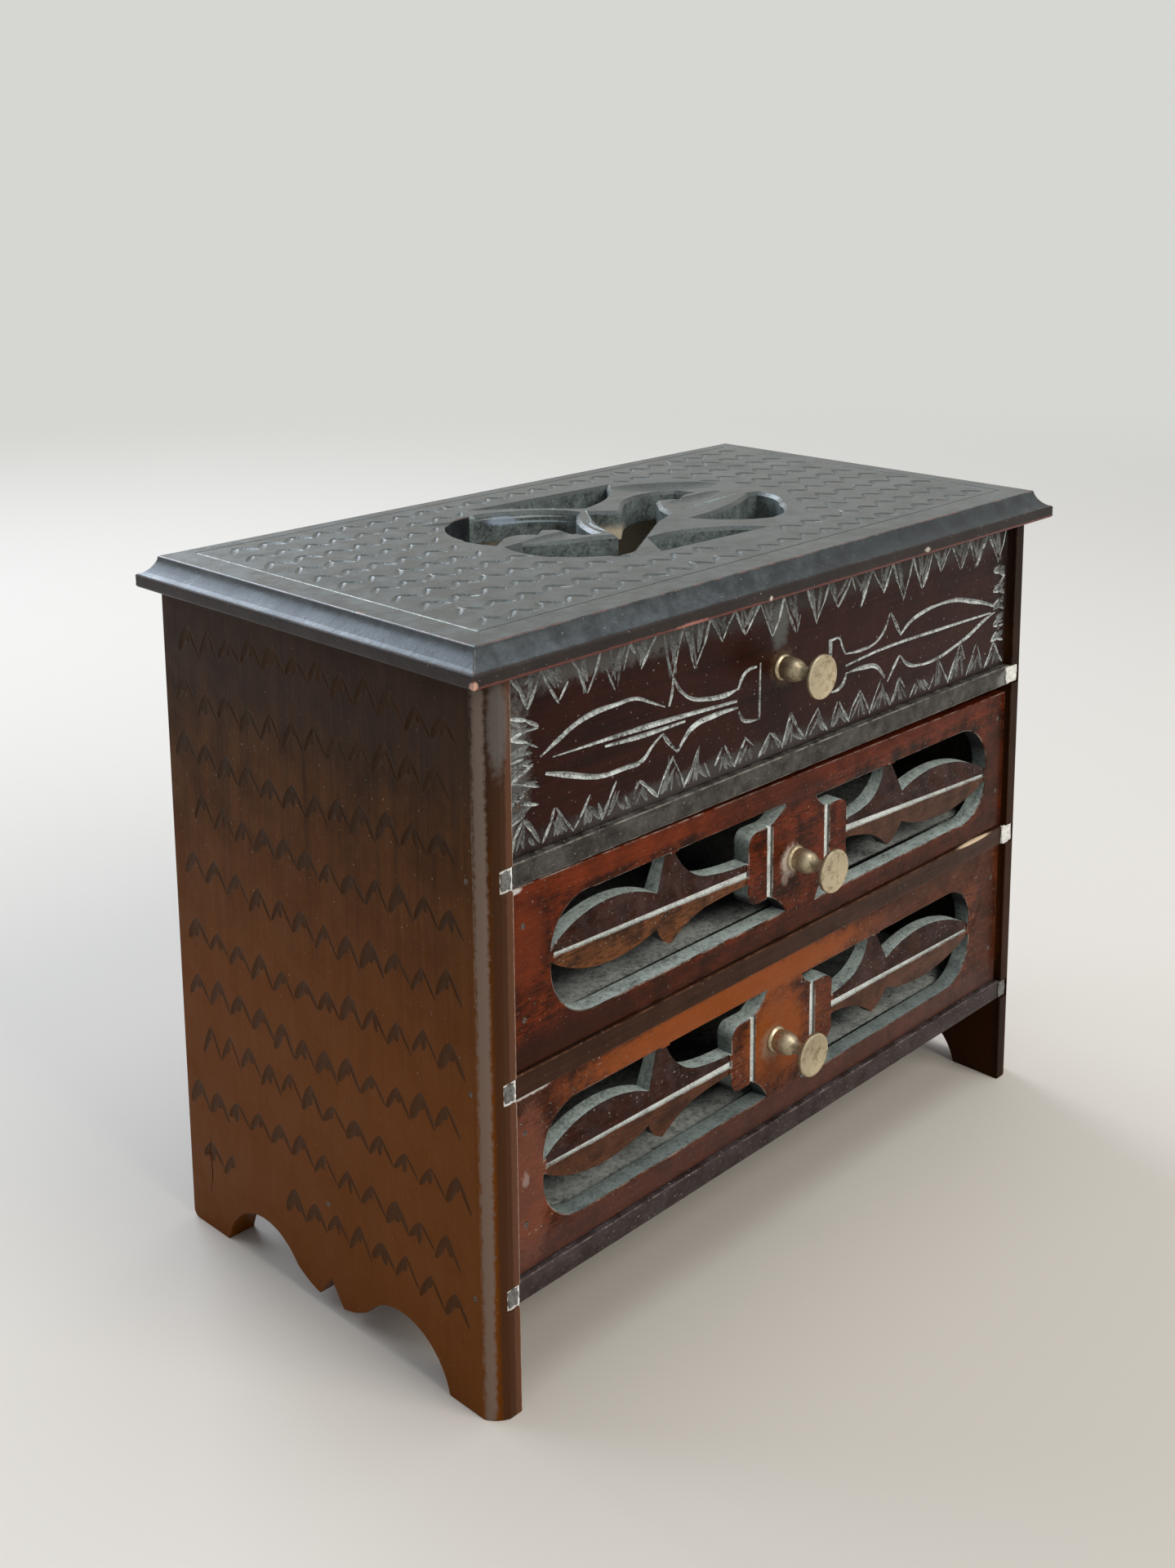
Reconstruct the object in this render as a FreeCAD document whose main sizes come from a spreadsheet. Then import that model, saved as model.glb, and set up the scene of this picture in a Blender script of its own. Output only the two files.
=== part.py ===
import FreeCAD, Part
import os
import Sketcher

# Miniature chest of three drawers, about 263 mm wide, 156 mm deep and 213 mm tall.
# Two side boards on bracket feet carry three housed shelves, a rebated back and a coved top
# board. The top is pierced with a carved medallion and the two lower drawer fronts with leaves.
# Frame: x across the front, y from the front to the back, z up from the surface it stands on.
# The origin is the middle of the whole footprint, knobs and mouldings included.

SIZES = {
    # Case
    "case_width": 250.0,
    "case_depth": 139.8,
    "side_height": 203.2,
    "side_thickness": 9.2,
    "housing_depth": 4.4,
    "edge_bevel": 5.0,
    "edge_swell": 0.5,
    "back_thickness": 5.0,
    # Bracket feet cut in the lower edge of each side
    "foot_length": 18.7,
    "arch_crown": 31.8,
    "arch_rise": 15.3,
    "arch_turn": 16.2,
    "arch_turn_rise": 7.7,
    "arch_sag": 0.6,
    "drop_half": 5.5,
    "drop_height": 3.4,
    "notch_rise": 10.7,
    "heel_radius": 2.5,
    # Shelves
    "shelf_thickness": 6.5,
    "shelf_setback": 1.0,
    "bottom_shelf_height": 31.0,
    "middle_shelf_height": 89.2,
    "upper_shelf_height": 146.9,
    # Top board and its cove moulding
    "top_thickness": 9.4,
    "side_overhang": 6.4,
    "front_overhang": 4.2,
    "back_overhang": 3.0,
    "cove_width": 4.85,
    "cove_drop": 5.2,
    "cove_hollow": 0.8,
    "lip_back": 0.9,
    "lip_round": 1.1,
    "overcut": 1.0,
    # Pierced medallion in the top board
    "medallion_x": 6.0,
    "medallion_y": 73.9,
    "medallion_length": 118.0,
    "medallion_width": 84.0,
    # Drawers
    "front_thickness": 5.8,
    "board_thickness": 6.5,
    "end_gap": 0.4,
    "under_gap": 0.3,
    "head_gap": 0.6,
    "wall_drop": 4.0,
    "rear_gap": 1.5,
    "top_recess": 3.0,
    "middle_recess": 2.0,
    "bottom_recess": 2.5,
    "top_lean": 0.0,
    "middle_lean": 2.4,
    "bottom_lean": 0.0,
    # Knobs
    "knob_reach": 15.0,
    "disc_diameter": 13.2,
    "disc_thickness": 1.5,
    "disc_round": 0.4,
    "neck_diameter": 4.2,
    "collar_diameter": 8.0,
    "collar_height": 3.5,
    "stem_diameter": 3.0,
    "stem_length": 5.0,
    "top_knob_x": -5.7,
    "top_knob_height": 179.8,
    "middle_knob_x": 0.3,
    "middle_knob_height": 119.2,
    "bottom_knob_x": -7.5,
    "bottom_knob_height": 63.5,
    # Panel pins
    "pin_diameter": 1.6,
    "pin_length": 14.0,
    "pin_play": 0.1,
    "pin_inset": 7.5,
    "front_pin_inset": 4.4,
    "front_pin_margin": 7.0,
    "back_pin_margin": 20.0,
    # Carved leaf shared by the four pierced panels
    "blade_swell": 9.0,
    "blade_belly": 20.0,
    "notch_reach": 6.6,
    "notch_half": 5.2,
    "spike_half": 1.6,
    "spike_fall": 11.9,
    "flare_reach": 14.0,
    "flare_half": 4.6,
    "neck_half": 3.2,
    "neck_swell": 0.2,
    "tip_half": 1.9,
    "tee_round": 3.6,
    "tee_groove": 9.8,
    "groove_width": 2.4,
    "groove_depth": 0.9,
    "rib_width": 2.0,
    "rib_stop": 1.0,
    # Slots: margins from the front's end, head and foot, the inner end's place and the end's round
    "middle_left_margin": 14.3,
    "middle_left_inner": -3.6,
    "middle_left_head": 8.6,
    "middle_left_foot": 7.5,
    "middle_left_round": 16.0,
    "middle_right_margin": 10.6,
    "middle_right_inner": 10.4,
    "middle_right_head": 10.4,
    "middle_right_foot": 6.8,
    "middle_right_round": 17.0,
    "bottom_left_margin": 11.0,
    "bottom_left_inner": -11.2,
    "bottom_left_head": 7.9,
    "bottom_left_foot": 8.0,
    "bottom_left_round": 14.0,
    "bottom_right_margin": 17.5,
    "bottom_right_inner": 5.2,
    "bottom_right_head": 8.8,
    "bottom_right_foot": 7.3,
    "bottom_right_round": 13.0,
}

# The pierced medallion's openings, in hundredths of its length and width from its centre.
# A corner of two numbers starts a straight cut. Two more give a point on the curve that follows.
MEDALLION = {
    "BackLeft": [
        (-48.8, 2.4, -50.0, 21.4), (-39.8, 41.1, -28.0, 44.0), (-18.6, 37.5, -11.0, 29.8),
        (-7.2, 19.6, -16.1, 6.0), (-21.6, -10.7), (-25.0, -8.9), (-25.4, 4.4), (-28.8, 8.9),
        (-33.1, 4.2, -39.0, 9.3), (-44.1, 7.0),
    ],
    "Centre": [
        (-47.9, -3.6, -48.3, -21.4), (-39.8, -36.3, -34.7, -39.9), (-28.8, -38.7), (-0.8, -13.1),
        (9.2, -7.3), (12.7, 2.4), (19.5, 13.1), (25.4, 8.7, 29.7, 12.3), (33.5, 12.5),
        (32.2, 19.9, 20.3, 23.8), (9.2, 17.4), (1.7, 8.3), (-4.2, 16.7, -13.1, 0.0),
        (-19.5, -19.0), (-24.2, -15.0, -33.9, -10.7), (-42.5, -2.9),
    ],
    "FrontRight": [
        (9.3, -19.6, 25.4, -16.1), (44.5, -5.4), (47.0, -6.5, 46.2, -15.5),
        (40.7, -25.0, 33.5, -35.5), (23.7, -39.9, 15.3, -32.1),
    ],
    "BackFan": [(-22.9, 51.2), (24.6, 47.6, 13.6, 32.7), (-2.1, 23.6, -11.0, 37.5)],
    "FrontFan": [(-23.7, -46.4), (-16.1, -30.4, -1.7, -32.7), (12.7, -48.8)],
}

# Where each leaf's parts lie in its slot. The spike and the crossbar's outer edge are in thousandths
# of the slot's length from its outer end, the rest in thousandths of its height from its foot.
LEAVES = {
    "middle_left": {"spike": 489, "tee": 818, "tip": 588,
                    "neck": 503, "tee_head": 854, "tee_foot": 199},
    "middle_right": {"spike": 585, "tee": 838, "tip": 426,
                     "neck": 550, "tee_head": 864, "tee_foot": 199},
    "bottom_left": {"spike": 515, "tee": 822, "tip": 542,
                    "neck": 499, "tee_head": 819, "tee_foot": 215},
    "bottom_right": {"spike": 584, "tee": 836, "tip": 513,
                     "neck": 550, "tee_head": 862, "tee_foot": 251},
}

# Shares that shape the curves
QUARTER = 0.3  # where a quarter round passes, from its corner, as a share of its radius
HOLLOW = 0.7  # how far a cove's deepest point moves each way, as a share of its depth
END_ROUND = (0.27, 0.72)  # the middle of a slot's rounded end, along and across it
SWEEP = (0.6, 0.75)  # the middle of the crossbar's sweep, along and across it
UPPER_WAIST = (0.43, 1.9)  # the hollow between neck and upper spike, in flares
LOWER_WAIST = (0.36, 1.75)  # the same below
SHOULDER = 0.72  # the lower spike's shoulder, in its notch and its fall
RIB_TAPER = 0.5  # how much narrower the midrib ends
DOME = (0.55, 0.6)  # the middle of the knob's domed collar, along and across it

# Places that several boards share
FRONT_PLANE = (
    "((min(Sizes.top_recess; Sizes.middle_recess; Sizes.bottom_recess) - Sizes.knob_reach"
    " - Sizes.case_depth - Sizes.back_overhang) / 2"
    " + Sizes.knob_reach - min(Sizes.top_recess; Sizes.middle_recess; Sizes.bottom_recess))"
)
HALF_WIDTH = "Sizes.case_width / 2"
INNER_HALF = "(Sizes.case_width / 2 - Sizes.side_thickness)"
HOUSED_HALF = "(Sizes.case_width / 2 - Sizes.side_thickness + Sizes.housing_depth)"
SHELF_BACK = "(Sizes.case_depth - Sizes.back_thickness)"
BORE = "(Sizes.pin_diameter + Sizes.pin_play)"
SHELVES = ("bottom", "middle", "upper")

doc = FreeCAD.newDocument("MiniatureChest")
sheet = doc.addObject("Spreadsheet::Sheet", "Sizes")
for row, (alias, size) in enumerate(SIZES.items(), start=1):
    sheet.set(f"A{row}", alias)
    sheet.set(f"B{row}", str(size))
    sheet.setAlias(f"B{row}", alias)
doc.recompute()


def number(expression):
    """Return what an expression of the sheet's sizes is worth now."""
    return float(sheet.evalExpression(expression))


def new_body(label, y=FRONT_PLANE, x="0", z="0"):
    """Start a board that is drawn from its own front face and placed in the chest."""
    body = doc.addObject("PartDesign::Body", label)
    body.Label = label
    body.AllowCompound = True
    for axis, place in (("x", x), ("y", y), ("z", z)):
        body.setExpression(f"Placement.Base.{axis}", place)
    return body


def new_sketch(body, name, role, offset="0"):
    """Attach a sketch to one of the body's own origin planes, moved along its normal."""
    sketch = body.newObject("Sketcher::SketchObject", name)
    plane = next(feature for feature in body.Origin.OriginFeatures if feature.Role == role)
    sketch.AttachmentSupport = (plane, [""])
    sketch.MapMode = "FlatFace"
    sketch.setExpression("AttachmentOffset.Base.z", offset)
    return sketch


def pin_point(sketch, geometry, position, across, along):
    """Bind one point of a sketch to two expressions, measured from the sketch's origin."""
    for kind, expression in (("DistanceX", across), ("DistanceY", along)):
        rule = Sketcher.Constraint(kind, -1, 1, geometry, position, number(expression))
        index = sketch.addConstraint(rule)
        sketch.setExpression(f"Constraints[{index}]", expression)


def draw_loop(sketch, corners):
    """Draw a closed loop of lines, with an arc after each corner that names a point on it."""
    points = [FreeCAD.Vector(number(corner[0]), number(corner[1])) for corner in corners]
    edges = []
    for start, end, corner in zip(points, points[1:] + points[:1], corners):
        if len(corner) == 2:
            edges.append((sketch.addGeometry(Part.LineSegment(start, end)), 1, 2))
            continue
        middle = FreeCAD.Vector(number(corner[2]), number(corner[3]))
        turns_left = (middle - start).cross(end - middle).z > 0
        arc = Part.Arc(start, middle, end) if turns_left else Part.Arc(end, middle, start)
        index = sketch.addGeometry(arc)
        via = sketch.addGeometry(Part.Point(middle), True)
        pin_point(sketch, via, 1, corner[2], corner[3])
        sketch.addConstraint(Sketcher.Constraint("PointOnObject", via, 1, index))
        edges.append((index, 1, 2) if turns_left else (index, 2, 1))
    for edge, following, corner in zip(edges, edges[1:] + edges[:1], corners):
        pin_point(sketch, edge[0], edge[1], corner[0], corner[1])
        joint = Sketcher.Constraint("Coincident", edge[0], edge[2], following[0], following[1])
        sketch.addConstraint(joint)


def draw_box(sketch, left, low, right, high):
    """Draw a rectangle between two corners."""
    draw_loop(sketch, [(left, low), (right, low), (right, high), (left, high)])


def draw_circle(sketch, across, along, diameter):
    """Draw a circle about a bound centre."""
    centre = FreeCAD.Vector(number(across), number(along))
    circle = Part.Circle(centre, FreeCAD.Vector(0, 0, 1), number(diameter) / 2)
    index = sketch.addGeometry(circle)
    pin_point(sketch, index, 3, across, along)
    rule = sketch.addConstraint(Sketcher.Constraint("Diameter", index, number(diameter)))
    sketch.setExpression(f"Constraints[{rule}]", diameter)


def pad(sketch, length, reverse=False):
    """Add a board of the sketch's outline."""
    body = sketch.getParentGeoFeatureGroup()
    feature = body.newObject("PartDesign::Pad", sketch.Name + "Pad")
    feature.Profile = sketch
    feature.setExpression("Length", length)
    feature.Reversed = reverse
    sketch.Visibility = False
    return feature


def pocket(sketch, length=None, reverse=False):
    """Cut the sketch's outline, right through when no depth is given."""
    body = sketch.getParentGeoFeatureGroup()
    feature = body.newObject("PartDesign::Pocket", sketch.Name + "Pocket")
    feature.Profile = sketch
    feature.Reversed = reverse
    if length is None:
        feature.Type = "ThroughAll"
    else:
        feature.setExpression("Length", length)
    sketch.Visibility = False
    return feature


def shelf_middle(name):
    """Return the height of the middle of a shelf's edge."""
    return f"(Sizes.{name}_shelf_height + Sizes.shelf_thickness / 2)"


def side_pin_places():
    """List where pins go through a side board into the shelves, from its front edge."""
    places = [("Sizes.pin_inset", shelf_middle(name)) for name in SHELVES]
    places.append(("Sizes.case_depth / 2", shelf_middle("bottom")))
    return places


def back_pin_places(hand):
    """List where pins go through the back into one side board, across and up."""
    across = f"{hand} * (Sizes.case_width / 2 - Sizes.side_thickness + Sizes.housing_depth / 2)"
    low = "(Sizes.bottom_shelf_height + Sizes.back_pin_margin)"
    high = "(Sizes.side_height - Sizes.back_pin_margin)"
    return [(across, low), (across, f"({low} + {high}) / 2"), (across, high)]


def make_side(label, hand):
    """Cut one side board: bracket feet, three housings, back rebate and bevelled edge."""
    reverse = hand > 0
    side = new_body(label, x=f"{hand} * {HALF_WIDTH}")
    inner = f"{-hand} * Sizes.side_thickness"
    middle = "Sizes.case_depth / 2"
    outline = new_sketch(side, label + "Outline", "YZ_Plane")
    draw_loop(outline, [
        ("0", "0"),
        ("Sizes.foot_length", "0",
         f"{middle} - Sizes.arch_crown", "Sizes.arch_rise"),
        (f"{middle} - Sizes.arch_turn", "Sizes.arch_turn_rise",
         f"{middle} - (Sizes.arch_turn + Sizes.drop_half) / 2",
         "(Sizes.arch_turn_rise + Sizes.drop_height) / 2 - Sizes.arch_sag"),
        (f"{middle} - Sizes.drop_half", "Sizes.drop_height"),
        (middle, "Sizes.notch_rise"),
        (f"{middle} + Sizes.drop_half", "Sizes.drop_height",
         f"{middle} + (Sizes.arch_turn + Sizes.drop_half) / 2",
         "(Sizes.arch_turn_rise + Sizes.drop_height) / 2 - Sizes.arch_sag"),
        (f"{middle} + Sizes.arch_turn", "Sizes.arch_turn_rise",
         f"{middle} + Sizes.arch_crown", "Sizes.arch_rise"),
        ("Sizes.case_depth - Sizes.foot_length", "0"),
        ("Sizes.case_depth - Sizes.heel_radius", "0",
         f"Sizes.case_depth - {QUARTER} * Sizes.heel_radius", f"{QUARTER} * Sizes.heel_radius"),
        ("Sizes.case_depth", "Sizes.heel_radius"),
        ("Sizes.case_depth", "Sizes.side_height"),
        ("0", "Sizes.side_height"),
    ])
    pad(outline, "Sizes.side_thickness", reverse)

    housings = new_sketch(side, label + "Housings", "YZ_Plane", inner)
    for name in SHELVES:
        low = f"Sizes.{name}_shelf_height"
        draw_box(housings, "0", low, SHELF_BACK, f"{low} + Sizes.shelf_thickness")
    pocket(housings, "Sizes.housing_depth", reverse)

    rebate = new_sketch(side, label + "Rebate", "YZ_Plane", inner)
    draw_box(rebate, SHELF_BACK, "Sizes.bottom_shelf_height", "Sizes.case_depth", "Sizes.side_height")
    pocket(rebate, "Sizes.housing_depth", reverse)

    bevel = new_sketch(side, label + "Bevel", "XY_Plane")
    draw_loop(bevel, [
        ("0", "0"),
        (f"{-hand} * Sizes.edge_bevel", "0",
         f"{-hand} * (Sizes.edge_bevel / 2 - Sizes.edge_swell)",
         "Sizes.edge_bevel / 2 - Sizes.edge_swell"),
        ("0", "Sizes.edge_bevel"),
    ])
    pocket(bevel, reverse=True)

    holes = new_sketch(side, label + "PinHoles", "YZ_Plane", inner)
    for across, up in side_pin_places():
        draw_circle(holes, across, up, BORE)
    pocket(holes, reverse=reverse)

    back_holes = new_sketch(side, label + "BackPinHoles", "XZ_Plane", f"-{SHELF_BACK}")
    for across, up in back_pin_places(hand):
        draw_circle(back_holes, f"{across} - {hand} * {HALF_WIDTH}", up, BORE)
    pocket(back_holes, "Sizes.pin_length - Sizes.back_thickness", reverse=True)


def make_shelf(name):
    """Cut one shelf, housed in both sides and bored for the pins."""
    label = f"{name}_shelf"
    shelf = new_body(label, z=f"Sizes.{name}_shelf_height")
    outline = new_sketch(shelf, label + "Outline", "XY_Plane")
    draw_box(outline, f"-{HOUSED_HALF}", "Sizes.shelf_setback", HOUSED_HALF, SHELF_BACK)
    pad(outline, "Sizes.shelf_thickness")
    entry = "(Sizes.side_thickness - Sizes.housing_depth)"
    for hand, end in ((-1, "Left"), (1, "Right")):
        holes = new_sketch(shelf, label + end + "PinHoles", "YZ_Plane", f"{hand} * {HOUSED_HALF}")
        for across, up in side_pin_places():
            if shelf_middle(name) == up:
                draw_circle(holes, across, "Sizes.shelf_thickness / 2", BORE)
        pocket(holes, f"Sizes.pin_length - {entry}", reverse=hand < 0)


def make_back():
    """Cut the back panel, which fills the rebates behind the shelves."""
    back = new_body("back_panel", y=f"{FRONT_PLANE} + {SHELF_BACK}")
    outline = new_sketch(back, "BackOutline", "XZ_Plane")
    draw_box(outline, f"-{HOUSED_HALF}", "Sizes.bottom_shelf_height", HOUSED_HALF, "Sizes.side_height")
    pad(outline, "Sizes.back_thickness", reverse=True)
    holes = new_sketch(back, "BackHoles", "XZ_Plane")
    for hand in (-1, 1):
        for across, up in back_pin_places(hand):
            draw_circle(holes, across, up, BORE)
    pocket(holes)


def make_side_pins(label, hand):
    """Make the panel pins that hold one side board to the shelves."""
    pins = new_body(label, x=f"{hand} * {HALF_WIDTH}")
    shanks = new_sketch(pins, label + "Shanks", "YZ_Plane")
    for across, up in side_pin_places():
        draw_circle(shanks, across, up, "Sizes.pin_diameter")
    pad(shanks, "Sizes.pin_length", reverse=hand > 0)


def make_back_pins():
    """Make the panel pins that hold the back to the side boards."""
    pins = new_body("back_pins", y=f"{FRONT_PLANE} + Sizes.case_depth")
    shanks = new_sketch(pins, "BackShanks", "XZ_Plane")
    for hand in (-1, 1):
        for across, up in back_pin_places(hand):
            draw_circle(shanks, across, up, "Sizes.pin_diameter")
    pad(shanks, "Sizes.pin_length")


def cove_loop(edge, outward):
    """Return the waste cut from one arris: a hollow cove above a rounded lip."""
    top = "Sizes.top_thickness"
    nose = f"({top} - Sizes.cove_drop)"
    lip = f"({edge} - {outward} * Sizes.lip_back)"
    inner = f"({edge} - {outward} * Sizes.cove_width)"
    above = f"{top} + Sizes.overcut"
    beyond = f"{edge} + {outward} * Sizes.overcut"
    return [
        (inner, above),
        (inner, top,
         f"({lip} + {inner}) / 2 - {outward} * {HOLLOW} * Sizes.cove_hollow",
         f"({top} + {nose}) / 2 - {HOLLOW} * Sizes.cove_hollow"),
        (lip, nose,
         f"{edge} - {outward} * {QUARTER} * Sizes.lip_back",
         f"{nose} - {QUARTER} * Sizes.lip_back"),
        (edge, f"{nose} - Sizes.lip_back"),
        (beyond, f"{nose} - Sizes.lip_back"),
        (beyond, above),
    ]


def lip_loop(edge, outward):
    """Return the waste under the lip, rounded towards the underside."""
    start = f"{edge} - {outward} * Sizes.lip_round"
    beyond = f"{edge} + {outward} * Sizes.overcut"
    return [
        (start, "0",
         f"{edge} - {outward} * {QUARTER} * Sizes.lip_round", f"{QUARTER} * Sizes.lip_round"),
        (edge, "Sizes.lip_round"),
        (beyond, "Sizes.lip_round"),
        (beyond, "-Sizes.overcut"),
        (start, "-Sizes.overcut"),
    ]


def make_top():
    """Cut the top board, mould its four edges and pierce the medallion."""
    half = f"({HALF_WIDTH} + Sizes.side_overhang)"
    back = "(Sizes.case_depth + Sizes.back_overhang)"
    top = new_body("top_board", z="Sizes.side_height")
    outline = new_sketch(top, "TopOutline", "XY_Plane")
    draw_box(outline, f"-{half}", "-Sizes.front_overhang", half, back)
    pad(outline, "Sizes.top_thickness")

    ends = new_sketch(top, "EndMoulding", "XZ_Plane", "Sizes.front_overhang")
    for outward, edge in (("-1", f"-{half}"), ("1", half)):
        draw_loop(ends, cove_loop(edge, outward))
        draw_loop(ends, lip_loop(edge, outward))
    pocket(ends)

    faces = new_sketch(top, "FaceMoulding", "YZ_Plane", half)
    for outward, edge in (("-1", "-Sizes.front_overhang"), ("1", back)):
        draw_loop(faces, cove_loop(edge, outward))
        draw_loop(faces, lip_loop(edge, outward))
    pocket(faces)

    for name, corners in MEDALLION.items():
        opening = new_sketch(top, name, "XY_Plane", "Sizes.top_thickness")
        draw_loop(opening, [tuple(medallion_point(corner)) for corner in corners])
        pocket(opening)


def medallion_point(corner):
    """Turn a corner's hundredths into expressions of the medallion's own size."""
    for index, share in enumerate(corner):
        if index % 2 == 0:
            yield f"Sizes.medallion_x + {share / 100:.3f} * Sizes.medallion_length"
        else:
            yield f"Sizes.medallion_y + {share / 100:.3f} * Sizes.medallion_width"


class Leaf:
    """One pierced slot of a drawer front with the carved leaf that lies across it.

    The slot keeps its margins from the front's end, head and foot, and the leaf lies in it in
    proportion, so both follow a front that is made wider or lower.
    """

    def __init__(self, name, half, tall, outward):
        self.name = name
        self.outward = outward
        self.outer = f"({outward} * ({half} - {self.size('margin')}))"
        self.inner = self.size("inner")
        self.head = f"({tall} - {self.size('head')})"
        self.foot = self.size("foot")
        self.spike = self.reach("spike")
        self.tee = self.reach("tee")

    def size(self, word):
        """Name one of this slot's own sizes."""
        return f"Sizes.{self.name}_{word}"

    def reach(self, word):
        """Return a place along the slot, between its outer and inner ends."""
        share = LEAVES[self.name][word] / 1000
        return f"({self.outer} + {share} * ({self.inner} - {self.outer}))"

    def height(self, word):
        """Return a height in the slot, between its foot and head."""
        share = LEAVES[self.name][word] / 1000
        return f"({self.foot} + {share} * ({self.head} - {self.foot}))"

    def along(self, reach):
        """Return a place on the leaf, from its spike outwards."""
        return f"({self.spike} + {self.outward} * ({reach}))"

    def axis(self, across):
        """Return the height of the leaf's middle line, which slopes from neck to tip."""
        slope = f"({self.height('tip')} - {self.height('neck')}) / ({self.outer} - {self.tee})"
        return f"({self.height('neck')} + ({across} - {self.tee}) * {slope})"

    def point(self, reach, rise, up):
        """Return a corner that stands off the middle line, above it or below."""
        across = self.along(reach)
        return across, f"{self.axis(across)} + {up} * ({rise})"

    def end_curve(self, level, up):
        """Return the rounded outer end of the slot, from the leaf's tip to the edge at a level."""
        tip = f"({self.height('tip')} + {up} * Sizes.tip_half)"
        reach = f"{self.outward} * {self.size('round')}"
        along, across = END_ROUND
        return (self.outer, tip,
                f"{self.outer} - {along} * {reach}", f"{tip} + {across} * ({level} - {tip})",
                f"{self.outer} - {reach}")

    def blade(self, up):
        """Return the blade's edge, from the notch to the tip."""
        notch = self.point("Sizes.notch_reach", "Sizes.notch_half", up)
        belly = self.point("Sizes.notch_reach + Sizes.blade_belly", "Sizes.blade_swell", up)
        return notch + belly

    def tee_edge(self, tee_level, slot_level, up):
        """Return the crossbar at the neck, from the slot's inner corner to the neck."""
        inset = f"{self.outward} * Sizes.tee_round"
        groove = f"({self.tee} - {self.outward} * Sizes.tee_groove)"
        along, across = SWEEP
        return [
            (self.inner, slot_level,
             f"{self.inner} + {along} * ({groove} - {self.inner})",
             f"{slot_level} + {across} * ({tee_level} - {slot_level})"),
            (groove, tee_level),
            (f"{self.tee} - {inset}", tee_level,
             f"{self.tee} - {QUARTER} * {inset}",
             f"{tee_level} - {up} * {QUARTER} * Sizes.tee_round"),
            (self.tee, f"{tee_level} - {up} * Sizes.tee_round"),
        ]

    def neck(self, up):
        """Return the neck's edge, from the crossbar to where it flares."""
        across = f"({self.tee} + {self.outward} * Sizes.tee_round)"
        return [
            (self.tee, f"{self.axis(self.tee)} + {up} * Sizes.neck_half",
             f"(2 * {self.tee} + {self.along('-Sizes.flare_reach')}) / 3",
             f"{self.axis(across)} + {up} * (Sizes.neck_half + Sizes.neck_swell)"),
        ]

    def flare(self, waist, up):
        """Return the leaf's edge from where the neck flares to the spike, through its waist."""
        along, rise = waist
        edge = self.point("-Sizes.flare_reach", "Sizes.flare_half", up)
        middle = self.point(f"-{along} * Sizes.flare_reach", f"{rise} * Sizes.flare_half", up)
        return edge + middle

    def upper_outer(self):
        """Return the loop above the blade, between the spike and the outer end."""
        tip_x, tip_z, middle_x, middle_z, end_x = self.end_curve(self.head, 1)
        return [
            (tip_x, tip_z, middle_x, middle_z),
            (end_x, self.head),
            (self.along("Sizes.spike_half"), self.head),
            self.blade(1),
        ]

    def upper_inner(self):
        """Return the loop above the neck, between the crossbar and the spike."""
        return [
            *self.tee_edge(self.height("tee_head"), self.head, 1),
            *self.neck(1),
            self.flare(UPPER_WAIST, 1),
            (self.along("-Sizes.spike_half"), self.head),
        ]

    def lower(self):
        """Return the loop below the whole leaf, whose lower spike hangs free."""
        tip_x, tip_z, middle_x, middle_z, end_x = self.end_curve(self.foot, -1)
        spike = self.point("0", "Sizes.spike_fall", -1)
        shoulder = self.point(
            f"{SHOULDER} * Sizes.notch_reach", f"{SHOULDER} * Sizes.spike_fall", -1)
        return [
            (end_x, self.foot),
            *self.tee_edge(self.height("tee_foot"), self.foot, -1),
            *self.neck(-1),
            self.flare(LOWER_WAIST, -1),
            spike + shoulder,
            self.blade(-1),
            (tip_x, tip_z, middle_x, middle_z),
        ]

    def loops(self):
        """Return the three openings that leave the leaf standing."""
        return {"UpperOuter": self.upper_outer(), "UpperInner": self.upper_inner(), "Lower": self.lower()}

    def ribs(self):
        """Return the grooves cut along the leaf's middle line and across its crossbar."""
        half = "Sizes.rib_width / 2"
        start, end = self.tee, f"({self.outer} - {self.outward} * Sizes.rib_stop)"
        bar = f"({self.tee} - {self.outward} * Sizes.tee_groove)"
        bar_half = "Sizes.groove_width / 2"
        midrib = [
            (start, f"{self.axis(start)} - {half}"),
            (end, f"{self.axis(end)} - {RIB_TAPER} * {half}"),
            (end, f"{self.axis(end)} + {RIB_TAPER} * {half}"),
            (start, f"{self.axis(start)} + {half}"),
        ]
        low, high = self.height("tee_foot"), self.height("tee_head")
        crossbar = [
            (f"{bar} - {bar_half}", low), (f"{bar} + {bar_half}", low),
            (f"{bar} + {bar_half}", high), (f"{bar} - {bar_half}", high),
        ]
        return {"Midrib": midrib, "Crossbar": crossbar}


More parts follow.
